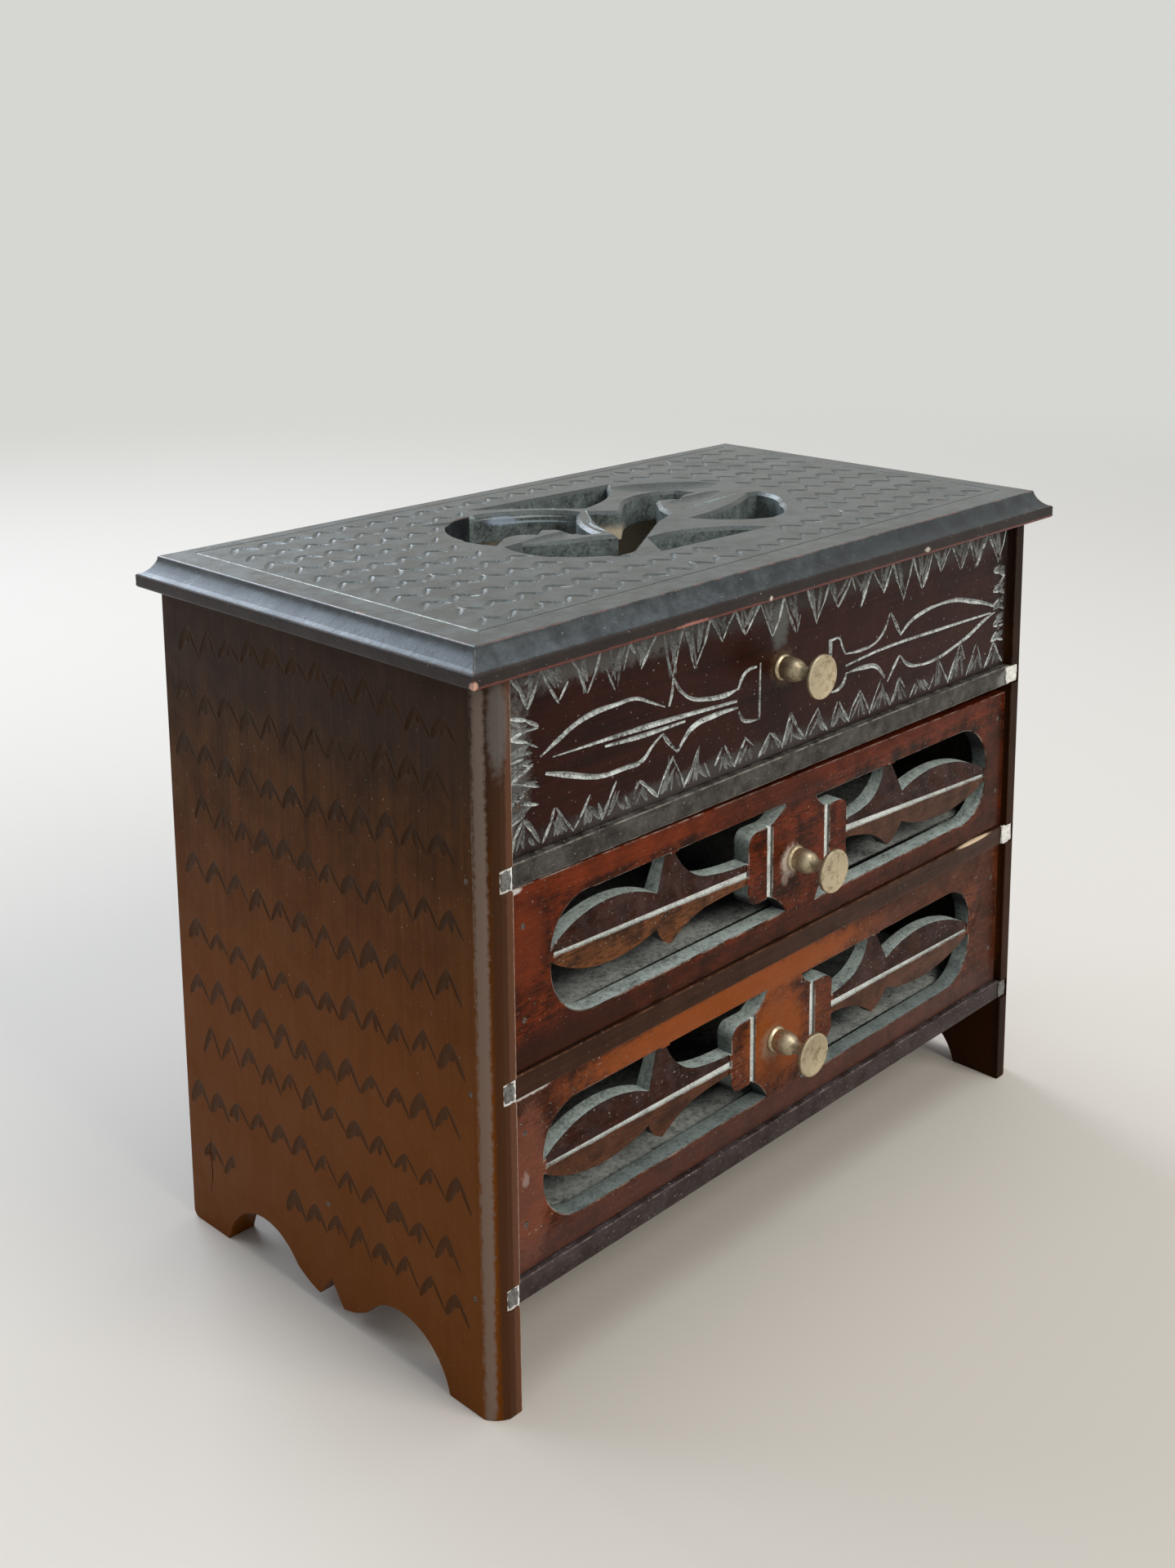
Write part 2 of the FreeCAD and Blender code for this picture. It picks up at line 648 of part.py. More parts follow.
def make_drawer(name, shelf, ceiling, leaves):
    """Make one drawer: front, two walls, back, bottom, knob and the pins of its front."""
    base = f"(Sizes.{shelf}_shelf_height + Sizes.shelf_thickness + Sizes.under_gap)"
    face = f"{FRONT_PLANE} + Sizes.{name}_recess"
    behind = f"{face} + Sizes.front_thickness"
    half = f"({INNER_HALF} - Sizes.end_gap)"
    tall = f"({ceiling} - {base} - Sizes.head_gap)"
    wall_height = f"({tall} - Sizes.board_thickness - Sizes.wall_drop)"
    reach = f"({SHELF_BACK} - Sizes.{name}_recess - Sizes.front_thickness - Sizes.rear_gap)"
    knob_x = f"Sizes.{name}_knob_x"
    knob_z = f"(Sizes.{name}_knob_height - {base})"
    pin_places = [
        (f"{hand} * ({half} - Sizes.front_pin_inset)", up)
        for hand in (-1, 1)
        for up in ("(Sizes.board_thickness + Sizes.front_pin_margin)",
                   f"({wall_height} + Sizes.board_thickness - Sizes.front_pin_margin)")
    ]

    label = f"{name}_drawer_front"
    front = new_body(label, y=face, z=base)
    outline = new_sketch(front, label + "Outline", "XZ_Plane")
    draw_loop(outline, [(f"-{half}", "0"), (half, "0"),
                        (half, f"{tall} - Sizes.{name}_lean"), (f"-{half}", tall)])
    pad(outline, "Sizes.front_thickness", reverse=True)
    bore = new_sketch(front, label + "KnobBore", "XZ_Plane")
    draw_circle(bore, knob_x, knob_z, "Sizes.stem_diameter")
    pocket(bore, "Sizes.stem_length")
    holes = new_sketch(front, label + "PinHoles", "XZ_Plane")
    for across, up in pin_places:
        draw_circle(holes, across, up, BORE)
    pocket(holes)
    for side_name, outward in leaves:
        leaf = Leaf(f"{name}_{side_name}", half, tall, outward)
        for part_name, loop in leaf.loops().items():
            opening = new_sketch(front, f"{name}{side_name}{part_name}", "XZ_Plane")
            draw_loop(opening, loop)
            pocket(opening)
        for part_name, loop in leaf.ribs().items():
            groove = new_sketch(front, f"{name}{side_name}{part_name}", "XZ_Plane")
            draw_loop(groove, loop)
            pocket(groove, "Sizes.groove_depth")

    for hand, side_name in ((-1, "left"), (1, "right")):
        label = f"{name}_drawer_{side_name}_wall"
        wall = new_body(label, x=f"{hand} * {half}", y=behind, z=f"{base} + Sizes.board_thickness")
        outline = new_sketch(wall, label + "Outline", "YZ_Plane")
        draw_box(outline, "0", "0", reach, wall_height)
        pad(outline, "Sizes.board_thickness", reverse=hand > 0)
        holes = new_sketch(wall, label + "PinHoles", "XZ_Plane")
        for across, up in pin_places[:2] if hand < 0 else pin_places[2:]:
            draw_circle(holes, f"{across} - {hand} * {half}", f"{up} - Sizes.board_thickness", BORE)
        pocket(holes, "Sizes.pin_length - Sizes.front_thickness")

    label = f"{name}_drawer_back"
    rear = new_body(label, y=f"{behind} + {reach}", z=f"{base} + Sizes.board_thickness")
    outline = new_sketch(rear, label + "Outline", "XZ_Plane")
    inner = f"({half} - Sizes.board_thickness)"
    draw_box(outline, f"-{inner}", "0", inner, wall_height)
    pad(outline, "Sizes.board_thickness")

    label = f"{name}_drawer_bottom"
    floor = new_body(label, y=behind, z=base)
    outline = new_sketch(floor, label + "Outline", "XY_Plane")
    draw_box(outline, f"-{half}", "0", half, reach)
    pad(outline, "Sizes.board_thickness")

    make_knob(f"{name}_drawer_knob", face, knob_x, f"Sizes.{name}_knob_height")
    label = f"{name}_drawer_pins"
    pins = new_body(label, y=face, z=base)
    shanks = new_sketch(pins, label + "Shanks", "XZ_Plane")
    for across, up in pin_places:
        draw_circle(shanks, across, up, "Sizes.pin_diameter")
    pad(shanks, "Sizes.pin_length", reverse=True)


def make_knob(label, y, x, z):
    """Turn one brass knob: stem, domed collar, waisted neck and flat disc."""
    knob = new_body(label, x=x, y=y, z=z)
    profile = new_sketch(knob, label + "Profile", "YZ_Plane")
    stem = "Sizes.stem_diameter / 2"
    collar = "Sizes.collar_diameter / 2"
    neck = "Sizes.neck_diameter / 2"
    rim = "Sizes.disc_diameter / 2"
    back_of_disc = "(Sizes.disc_thickness - Sizes.knob_reach)"
    along, across = DOME
    draw_loop(profile, [
        ("Sizes.stem_length", "0"),
        ("Sizes.stem_length", stem),
        ("0", stem),
        ("0", collar,
         f"-{along} * Sizes.collar_height", f"{neck} + {across} * ({collar} - {neck})"),
        ("-Sizes.collar_height", neck),
        (back_of_disc, neck),
        (back_of_disc, f"{rim} - Sizes.disc_round"),
        (f"{back_of_disc} - Sizes.disc_round", rim),
        ("Sizes.disc_round - Sizes.knob_reach", rim,
         f"{QUARTER} * Sizes.disc_round - Sizes.knob_reach",
         f"{rim} - {QUARTER} * Sizes.disc_round"),
        ("-Sizes.knob_reach", f"{rim} - Sizes.disc_round"),
        ("-Sizes.knob_reach", "0"),
    ])
    turning = knob.newObject("PartDesign::Revolution", label + "Turning")
    turning.Profile = profile
    turning.ReferenceAxis = (profile, ["H_Axis"])
    turning.Angle = 360
    profile.Visibility = False


def check_model():
    """Stop if a feature failed, a cut removed nothing or a board is not sound."""
    for item in doc.Objects:
        if "Invalid" in item.State or "Error" in item.State:
            raise RuntimeError(f"{item.Label} failed: {item.State}")
        if item.TypeId == "PartDesign::Pocket":
            if item.BaseFeature.Shape.Volume - item.Shape.Volume < 0.01:
                raise RuntimeError(f"{item.Label} cuts nothing")
    for body in doc.findObjects("PartDesign::Body"):
        if body.Shape.isNull() or not body.Shape.isValid():
            raise RuntimeError(f"{body.Label} is not a sound solid")


make_side("left_side", -1)
make_side("right_side", 1)
for shelf_name in SHELVES:
    make_shelf(shelf_name)
make_back()
make_top()
make_side_pins("left_side_pins", -1)
make_side_pins("right_side_pins", 1)
make_back_pins()
BOTH = (("left", -1), ("right", 1))
make_drawer("top", "upper", "Sizes.side_height", ())
make_drawer("middle", "middle", "Sizes.upper_shelf_height", BOTH)
make_drawer("bottom", "bottom", "Sizes.middle_shelf_height", BOTH)
doc.recompute()
check_model()

os.makedirs("parts", exist_ok=True)
for body in doc.findObjects("PartDesign::Body"):
    body.Shape.exportStep(f"parts/{body.Label}.step")
    solids = body.Shape.Solids
    print(body.Label, len(solids), "solid", round(sum(solid.Volume for solid in solids), 1))
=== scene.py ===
"""The looks of a miniature chest of three drawers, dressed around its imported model.

The chest is a small piece of folk cabinet work: dark stained boards chip-carved with rows of
zigzags, a coved top with a pierced medallion, one incised drawer front and two pierced ones.
Every wooden board is a copy of its own solid with softened arrises, and the carving is cut into
that copy. Lengths in this file are in millimetres and become metres where a mesh is made.
"""

import logging
import math
import random
from collections.abc import Callable
from dataclasses import dataclass, field
from enum import Enum
from functools import cached_property

import bmesh
import bpy
from mathutils import Matrix, Vector


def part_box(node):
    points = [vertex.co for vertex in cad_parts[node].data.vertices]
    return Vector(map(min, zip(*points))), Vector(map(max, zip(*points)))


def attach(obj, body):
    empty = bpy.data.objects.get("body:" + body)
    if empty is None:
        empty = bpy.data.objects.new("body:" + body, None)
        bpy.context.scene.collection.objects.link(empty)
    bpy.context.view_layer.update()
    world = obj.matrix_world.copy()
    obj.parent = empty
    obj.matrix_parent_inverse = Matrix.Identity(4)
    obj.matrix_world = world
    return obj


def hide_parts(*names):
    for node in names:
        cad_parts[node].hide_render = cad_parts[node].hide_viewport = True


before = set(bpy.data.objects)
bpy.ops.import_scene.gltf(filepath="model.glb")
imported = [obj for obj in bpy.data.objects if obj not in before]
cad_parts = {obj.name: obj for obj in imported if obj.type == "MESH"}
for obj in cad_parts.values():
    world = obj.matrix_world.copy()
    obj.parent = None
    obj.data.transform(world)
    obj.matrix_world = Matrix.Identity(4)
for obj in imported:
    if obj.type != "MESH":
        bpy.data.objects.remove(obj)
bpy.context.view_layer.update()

MM = 0.001
UNIT = 1 / MM  # the size of a noise whose coordinates are scaled already
WELD = 0.001  # points of a solid that are nearer than this are one
SLIVER = 0.0003  # and so are points of a carved board
FLAT = 0.3  # degrees that two facets of one face may turn
CORNER = 25.0  # degrees that an arris turns at least
SHORTEST_ARRIS = 0.55
BOARD_TURN = 11.0  # degrees above which a carved board's edges stay sharp
PROUD = 0.04  # how far a cutter stands out of the face, as a share of its depth
COATS = 6  # a board's material slots: its own finish and up to five kinds of cut
SMOOTH = "SMOOTHSTEP"
LOG = logging.getLogger("chest")
Point = tuple[float, float]
Triple = tuple[float, float, float]
Node, Mesh = bpy.types.Node, bpy.types.Mesh


# ---------------------------------------------------------------- colours and nodes


def linear(hex_colour: str) -> tuple[float, float, float, float]:
    """Turn an sRGB hex colour into the linear values that a shader takes.

    Args:
        hex_colour: six hex digits after a hash sign.

    Returns:
        Linear red, green and blue, and an alpha of one.
    """
    shares = [int(hex_colour[i : i + 2], 16) / 255 for i in (1, 3, 5)]
    channels = [s / 12.92 if s <= 0.04045 else ((s + 0.055) / 1.055) ** 2.4 for s in shares]
    return (*channels, 1.0)


class Recipe:
    """The node tree of a finish or of the world, and the kinds of node that they share.

    Colours may be given as hex. Sizes are in millimetres.
    """

    def __init__(self, tree: bpy.types.NodeTree) -> None:
        """Take a node tree and empty it."""
        tree.nodes.clear()
        self.tree = tree

    def add(self, kind: str, inputs: dict | None = None, **settings) -> Node:
        """Add one shader node with its settings and links.

        Args:
            kind: the node's class without its ShaderNode prefix.
            inputs: socket names or numbers, each with a value, a socket or a node to link.
            **settings: properties of the node itself.

        Returns:
            The new node.
        """
        made = self.tree.nodes.new("ShaderNode" + kind)
        for name, value in settings.items():
            setattr(made, name, value)
        for key, value in (inputs or {}).items():
            socket = made.inputs[key]
            if isinstance(key, str):
                socket = next(s for s in made.inputs if s.name == key and s.enabled)
            if isinstance(value, Node):
                value = next(s for s in value.outputs if s.enabled)
            if isinstance(value, bpy.types.NodeSocket):
                self.tree.links.new(value, socket)
            else:
                socket.default_value = linear(value) if isinstance(value, str) else value
        return made

    @cached_property
    def place(self) -> bpy.types.NodeSocket:
        """The piece's own coordinates."""
        return self.add("TexCoord").outputs["Object"]

    @cached_property
    def facing_up(self) -> bpy.types.NodeSocket:
        """How far a surface faces up, from minus one to one."""
        normal = self.add("NewGeometry").outputs["Normal"]
        return self.add("SeparateXYZ", {0: normal}).outputs["Z"]

    @cached_property
    def frayed(self) -> Node:
        """The noise that breaks up the edge of every patch."""
        return self.noise(1.8, 4.0, 0.7)

    def noise(self, size: float, detail: float = 2.0, roughness: float = 0.5,
              distortion: float = 0.0, place: Node | None = None) -> Node:
        """Add noise with features of a size, on the piece's coordinates or on others."""
        return self.add("TexNoise", {
            "Vector": self.place if place is None else place, "Scale": 1 / (size * MM),
            "Detail": detail, "Roughness": roughness, "Distortion": distortion,
        })

    def ramp(self, value, low: float, high: float, to_low: float = 0.0, to_high: float = 1.0,
             kind: str = "LINEAR") -> Node:
        """Stretch a value's range to another one, and clamp it there."""
        return self.add("MapRange", {"Value": value, "From Min": low, "From Max": high,
                                     "To Min": to_low, "To Max": to_high},
                        interpolation_type=kind)

    def blend(self, share, under, over) -> Node:
        """Lay a share of one colour over another."""
        return self.add("Mix", {"Factor": share, "A": under, "B": over}, data_type="RGBA")

    def maths(self, operation: str, *values, clamp: bool = False) -> Node:
        """Add one step of arithmetic."""
        return self.add("Math", dict(enumerate(values)), operation=operation, use_clamp=clamp)

    def away(self, place) -> bpy.types.NodeSocket:
        """Return how far a place is from the origin."""
        return self.add("VectorMath", {0: place}, operation="LENGTH").outputs["Value"]

    def seen(self) -> Node:
        """Tell what the camera and clear reflections see from what only carries light."""
        ray = self.add("LightPath").outputs
        seen = self.maths("MAXIMUM", ray["Is Camera Ray"], ray["Is Glossy Ray"])
        return self.maths("MAXIMUM", seen, ray["Is Transmission Ray"])

    def coat(self, colour, roughness, relief: tuple | None = None, specular: float = 0.5,
             sheen: str = "#ffffff", metallic: float = 0.0) -> Node:
        """Add the surface itself.

        Args:
            colour: its colour.
            roughness: its roughness.
            relief: a height, how strongly it shows and how deep it is.
            specular: how strongly it reflects.
            sheen: the tint of its reflections.
            metallic: how far it is a metal.

        Returns:
            The shader node.
        """
        inputs = {"Base Color": colour, "Roughness": roughness, "Metallic": metallic,
                  "Specular IOR Level": specular, "Specular Tint": sheen}
        if relief is not None:
            height, strength, depth = relief
            inputs["Normal"] = self.add("Bump", {"Strength": strength, "Distance": depth * MM,
                                                 "Height": height})
        return self.add("BsdfPrincipled", inputs)


class Grain(Enum):
    """The axis along which a board's grain runs."""

    X = 0
    Y = 1
    Z = 2


class Slot(Enum):
    """The record's material slots, handed to the boards' dressing, which does not use them."""

    EBONISED = "ebonised_wood"
    DARK_MAHOGANY = "dark_mahogany"
    MAHOGANY = "mahogany"
    INSIDE = "inside_wood"
    BRASS = "brass"


class Finish:
    """A finish that is turned into a material the first time it is asked for."""

    name: str

    def material(self) -> bpy.types.Material:
        """Return this finish's material, made once."""
        made = bpy.data.materials.get(self.name)
        if made is None:
            made = bpy.data.materials.new(self.name)
            made.use_nodes = True
            mix = Recipe(made.node_tree)
            mix.add("OutputMaterial", {"Surface": self.shade(mix)})
        return made

    def shade(self, mix: Recipe) -> Node:
        """Add this finish's own nodes and return the last one."""
        raise NotImplementedError


@dataclass(frozen=True)
class Smudge:
    """A soft patch of colour about a point on a board, as an ellipsoid: dust, rubbed colour,
    painted shade and painted highlights.
    """

    centre: Triple
    radii: Triple
    colour: str
    strength: float = 0.8
    fray: float = 0.9

    def rub_in(self, mix: Recipe, colour: Node) -> Node:
        """Mix the patch into a colour, its edge broken up by noise.

        Args:
            mix: the material's recipe.
            colour: the colour so far.

        Returns:
            The node that carries the new colour.
        """
        shrink = [1 / (radius * MM) for radius in self.radii]
        shift = [-c / r for c, r in zip(self.centre, self.radii)]
        near = mix.add("Mapping", {"Vector": mix.place, "Scale": shrink, "Location": shift})
        away = mix.maths("MULTIPLY_ADD", mix.frayed, self.fray, mix.away(near))
        rim = 1.0 + self.fray / 2
        within = mix.ramp(away, rim - 0.4, rim + 0.2, self.strength, 0.0, SMOOTH)
        return mix.blend(within, colour, self.colour)


def rubbed(*rows: tuple) -> tuple[Smudge, ...]:
    """Make patches of dust, wear, painted shade and painted highlights from rows of a centre, three
    radii, a colour and perhaps strength and fray.
    """
    return tuple(Smudge(row[:3], row[3:6], *row[6:]) for row in rows)


@dataclass(frozen=True)
class StainedWood(Finish):
    """A close-grained hardwood, planed by hand, stained dark and rubbed with polish.

    The stain lies darker in patches and shows the grain as faint streaks, the arrises are
    rubbed through, and a bloom of old dust and wax lies on what faces up; on the top and the
    cove that bloom is partly a painted reflection.
    """

    name: str
    ground: str
    figure: str
    worn: str
    bloom: str
    grain: Grain = Grain.X
    streak: float = 1.1
    run: float = 38.0
    patch: float = 16.0
    patchiness: float = 0.45
    roughness: Point = (0.3, 0.48)
    specular: float = 0.4
    sheen: str = "#ffffff"
    blooming: float = 0.35
    wearing: float = 0.7
    relief: float = 0.25
    pores: float = 0.25
    pore_ink: str = "#080302"
    flecked: float = 0.735
    fleck: str = "#b9b3a8"
    smudges: tuple[Smudge, ...] = ()

    def along_grain(self, mix: Recipe, across: float, along: float) -> Node:
        """Return coordinates on which a unit noise is drawn out along the grain."""
        scale = [1 / (across * MM)] * 3
        scale[self.grain.value] = 1 / (along * MM)
        return mix.add("Mapping", {"Vector": mix.place, "Scale": scale})

    def stain(self, mix: Recipe, fine: Node, patches: Node) -> Node:
        """Mix the two tones of the stain by fibres, flames and patches, and add dark pores."""
        broad = self.along_grain(mix, 5 * self.streak, 5 * self.run)
        flame = mix.noise(UNIT, 3.0, 0.55, 0.8, broad)
        share = mix.maths("MULTIPLY", mix.ramp(fine, 0.36, 0.66, kind=SMOOTH), 0.35)
        share = mix.maths("MULTIPLY_ADD", mix.ramp(flame, 0.3, 0.7, kind=SMOOTH), 0.45, share)
        patchy = mix.ramp(patches, 0.32, 0.66, kind=SMOOTH)
        share = mix.maths("MULTIPLY_ADD", patchy, self.patchiness, share)
        surplus = 0.6 * (self.patchiness - 0.45)  # so patchy wood is no lighter than plain wood
        share = mix.maths("SUBTRACT", share, surplus, clamp=True)
        colour = mix.blend(share, self.ground, self.figure)
        # Real pores are about 0.1 mm wide, too fine to show, so they are drawn coarser.
        dashes = mix.noise(UNIT, place=self.along_grain(mix, 0.45, 3.2))
        pore = mix.ramp(dashes, 0.48, 0.68, to_high=self.pores, kind=SMOOTH)
        return mix.blend(pore, colour, self.pore_ink)

    def shade(self, mix: Recipe) -> Node:
        """Add stain, bloom, rubbed arrises, flecks, patches of dust and painted light, and a fine
        relief.
        """
        fine = mix.noise(UNIT, 5.0, 0.62, 0.25, self.along_grain(mix, self.streak, self.run))
        patches = mix.noise(self.patch, 4.0, 0.6, 0.3)
        colour = self.stain(mix, fine, patches)

        haze = mix.ramp(mix.noise(7, 7.0, 0.72), 0.42, 0.75, to_high=self.blooming)
        haze = mix.maths("MULTIPLY", haze, mix.ramp(mix.facing_up, -0.2, 0.9, 0.35))
        colour = mix.blend(haze, colour, self.bloom)
        rub = mix.ramp(mix.noise(5, 5.0, 0.7), 0.42, 0.62, to_high=self.wearing)
        arris = mix.add("Attribute", attribute_name="arris").outputs["Fac"]
        colour = mix.blend(mix.maths("MULTIPLY", rub, arris), colour, self.worn)
        flecks = mix.ramp(mix.noise(0.9, 1.0), self.flecked, 0.8, to_high=0.55)
        colour = mix.blend(flecks, colour, self.fleck)
        for mark_and_light in self.smudges:
            colour = mark_and_light.rub_in(mix, colour)

        rough = mix.ramp(patches, 0.3, 0.7, self.roughness[1], self.roughness[0])
        rough = mix.maths("MULTIPLY_ADD", haze, 0.35, rough, clamp=True)
        height = mix.maths("MULTIPLY_ADD", mix.noise(4.5), 1.6, fine)
        return mix.coat(colour, rough, (height, self.relief, 0.25), self.specular, self.sheen)


@dataclass(frozen=True)
class CutWood(Finish):
    """The same wood where a knife or saw has cut it: rougher, and full of pale old dust.

    Dust lies thick on what faces up and thin on what faces down. On the sawn walls this pale colour
    is partly a painted cool skylight, and on the top's pale dashes it is painted glints.
    """

    name: str
    bare: str
    dust: str
    settled: Point = (0.25, 0.9)
    roughness: float = 0.7
    tooling: float = 1.2
    specular: float = 0.25
    sheen: str = "#ffffff"
    gaps: float = 0.35
    smudges: tuple[Smudge, ...] = ()

    def shade(self, mix: Recipe) -> Node:
        """Add tool marks, dust by the way a face looks, and a rough relief."""
        marks = mix.noise(self.tooling, 5.0, 0.7, 0.6)
        lying = mix.ramp(mix.facing_up, -0.5, 0.8, *self.settled)
        broken = mix.maths("MULTIPLY_ADD", mix.noise(6, 3.0), 0.5, marks)
        broken = mix.ramp(broken, 0.52, 0.95, self.gaps, 1.3)
        share = mix.maths("MULTIPLY", broken, lying, clamp=True)
        colour = mix.blend(share, self.bare, self.dust)
        for mark_and_light in self.smudges:
            colour = mark_and_light.rub_in(mix, colour)
        return mix.coat(colour, self.roughness, (marks, 0.5, 0.3), self.specular, self.sheen)


@dataclass(frozen=True)
class TarnishedBrass(Finish):
    """Turned brass gone dull: bright where fingers rub it, brown in the hollows."""

    name: str = "turned_brass_tarnished"
    bright: str = "#c9bb9e"
    tarnish: str = "#6e5d40"

    def shade(self, mix: Recipe) -> Node:
        """Add tarnish in blotches, specks and fine scratches."""
        blotch = mix.noise(2.6, 6.0, 0.65, 0.4)
        specks = mix.noise(0.5)
        share = mix.ramp(blotch, 0.46, 0.72, to_high=0.75, kind=SMOOTH)
        share = mix.maths("MAXIMUM", share, mix.ramp(specks, 0.62, 0.74, to_high=0.5))
        colour = mix.blend(share, self.bright, self.tarnish)
        rough = mix.ramp(blotch, 0.35, 0.7, 0.36, 0.6)
        return mix.coat(colour, rough, (specks, 0.2, 0.05), metallic=1.0)


@dataclass(frozen=True)
class RustedIron(Finish):
    """Drawn iron panel pins, filed flush and browned by rust."""

    name: str = "panel_pin_iron"
    iron: str = "#6d6a64"
    rust: str = "#4a3326"

    def shade(self, mix: Recipe) -> Node:
        """Add rust that breaks up the grey metal."""
        share = mix.ramp(mix.noise(0.7, 4.0), 0.4, 0.6)
        return mix.coat(mix.blend(share, self.iron, self.rust), 0.6, metallic=0.6)


@dataclass(frozen=True)
class OldPutty(Finish):
    """Whiting putty pressed into the housings' ends, dried, cracked and a little soiled."""

    name: str
    clean: str
    soiled: str

    def shade(self, mix: Recipe) -> Node:
        """Add soiled patches and a crumbly relief."""
        crumbs = mix.noise(1.5, 5.0, 0.7)
        colour = mix.blend(mix.ramp(crumbs, 0.42, 0.68), self.clean, self.soiled)
        return mix.coat(colour, 0.85, (crumbs, 0.6, 0.3), 0.2)


@dataclass(frozen=True)
class MattPaint(Finish):
    """Matt emulsion on the studio floor, which fades into the surround away from the chest."""

    name: str = "studio_floor_paint"
    colour: str = "#d9d4cb"
    surround: str = "#d6d6d2"
    near: float = 0.55
    far: float = 1.7

    def shade(self, mix: Recipe) -> Node:
        """Add a flat pale coat and its fading."""
        rough = mix.ramp(mix.noise(60, 3.0), 0.0, 1.0, 0.75, 0.9)
        fade = mix.ramp(mix.away(mix.place), self.near, self.far, kind=SMOOTH)
        fade = mix.maths("MULTIPLY", fade, mix.seen())
        paint = mix.coat(self.colour, rough, specular=0.2)
        backdrop = mix.add("Emission", {"Color": self.surround, "Strength": 1.0})
        return mix.add("MixShader", {0: fade, 1: paint, 2: backdrop})


# ---------------------------------------------------------------- the finishes


# Stained hardwood: warm brown below as a painted warm reflection of the table, darker grey above,
# with painted light and shade on the front edges.
SIDE_WOOD = StainedWood(
    "stained_hardwood_sides", ground="#28160b", figure="#523010", worn="#85766a",
    bloom="#5f5a55", grain=Grain.Z, roughness=(0.34, 0.5), specular=0.09, sheen="#c08a58",
    blooming=0.06, smudges=rubbed(
        # painted reflection: the lower part warmed as by the table
        (0, 0, 0, 400, 400, 150, "#723c06", 0.7, 0.15),
        (0, 0, 212, 400, 400, 50, "#2c2422", 0.7, 0.25),
        # painted shade: the right side's front edge and inner face darkened
        (120, -64.9, 100, 7.0, 4.0, 200, "#1c110c", 0.85, 0.4),
        # the left front edge darker brown
        (-120.5, -64.9, 100, 5.2, 1.6, 200, "#3f2a1e", 0.85, 0.5),
        # painted highlight: a grey band along the left front chamfer
        (-124.2, -61.9, 100, 1.8, 2.1, 200, "#7f736a", 0.7, 1.1),
        # a reddish band on the left front flat as a painted highlight, and a pale inner arris,
        # partly wear and partly a painted highlight line
        (-117.0, -64.9, 100, 1.4, 0.8, 200, "#6a4838", 0.6, 0.9),
        (-115.8, -64.9, 100, 0.4, 0.8, 200, "#b7a596", 0.6, 1.8),
        (-121.5, -65, 192, 5, 1.8, 15, "#6a6865", 0.6),
        # painted shade: the right side's inner face darkened near the foot
        (115.6, -45, 18, 4, 60, 32, "#180d07", 0.85, 0.4),
    ))
# The same wood waxed: a cool glossy grey that mirrors the window, and a grey-green haze that is
# partly dust and partly a painted reflection.
TOP_WOOD = StainedWood(
    "stained_hardwood_top", ground="#141313", figure="#211d1b", worn="#7a3a30",
    bloom="#7f8788", roughness=(0.22, 0.32), specular=0.77, sheen="#e4f6f4",
    blooming=0.38, smudges=rubbed(
        (-14, -66, 212, 1.2, 1.0, 1.0, "#b9b0a8", 0.8, 1.5),
        (-127, -20, 212.5, 1.6, 2.2, 0.8, "#8f6a60", 0.7, 1.6),
    ))
# The cove, polished most: a blue-grey sheen along the hollow, from its gloss and from a blue-grey
# haze that is a painted reflection, and painted shade on the right of the front cove.
MOULDING = StainedWood(
    "stained_hardwood_cove", ground="#0e0f11", figure="#191a1d", worn="#7d5c56",
    bloom="#7d888e", roughness=(0.27, 0.4), specular=0.85, sheen="#d3e0e8",
    # painted shade: the right part of the front cove darkened
    blooming=0.35, smudges=rubbed((60, -67, 209, 75, 5, 4.4, "#0a0708", 0.6, 0.6),))
# The cove's lip: a duller, near black copy of the top's wood that stands in as painted shade, with
# a red worn edge and small pale chips.
LIP = StainedWood(
    "stained_hardwood_lip", ground="#150d0b", figure="#231613", worn="#6a3a33",
    bloom="#5a5350", roughness=(0.34, 0.5), specular=0.3, blooming=0.25,
    smudges=rubbed(
        (0, -69.3, 203.6, 400, 1.6, 0.7, "#733c34", 0.75, 1.5),
        (-131.2, -68.9, 204.4, 1.5, 1.5, 1.3, "#cfa28e", 0.9),
        (-54, -69.2, 203.8, 7, 1.2, 0.8, "#b5776a", 0.7, 1.5),
        (57, -68.9, 205, 1.5, 1.2, 0.9, "#c9c0b4", 0.8, 1.8),
        (-20, -69.1, 204.4, 0.8, 1.2, 0.8, "#d8d0c4", 0.8, 1.2),
    ))
# The upper rail, thick with grey dust that hides its grain.
UPPER_RAIL = StainedWood(
    "stained_hardwood_rail_dusty", ground="#181411", figure="#332e2a", worn="#9c978e",
    bloom="#7b7a75", streak=0.8, roughness=(0.45, 0.6), specular=0.25,
    blooming=1.0, relief=1.0, flecked=0.67,
    smudges=rubbed((114, -63.5, 149, 6, 2, 3.5, "#8f918d", 0.6),))
# The middle rail: smooth dark brown, with one fresh pale chip.
MIDDLE_RAIL = StainedWood(
    "stained_hardwood_rail_smooth", ground="#1f0f09", figure="#3c2217", worn="#6a4a38",
    bloom="#4a3a32", specular=0.25, sheen="#c79a6a", blooming=0.2,
    smudges=rubbed((97, -63.8, 95.5, 10, 1.1, 0.8, "#dcc3a4", 0.95, 0.5),))
# The lowest rail: purplish brown and gritty.
LOWER_RAIL = StainedWood(
    "stained_hardwood_rail_foot", ground="#1e1514", figure="#372a27", worn="#7a706c",
    bloom="#6b6265", roughness=(0.4, 0.55), specular=0.2, blooming=0.65,
    relief=0.5, flecked=0.66)
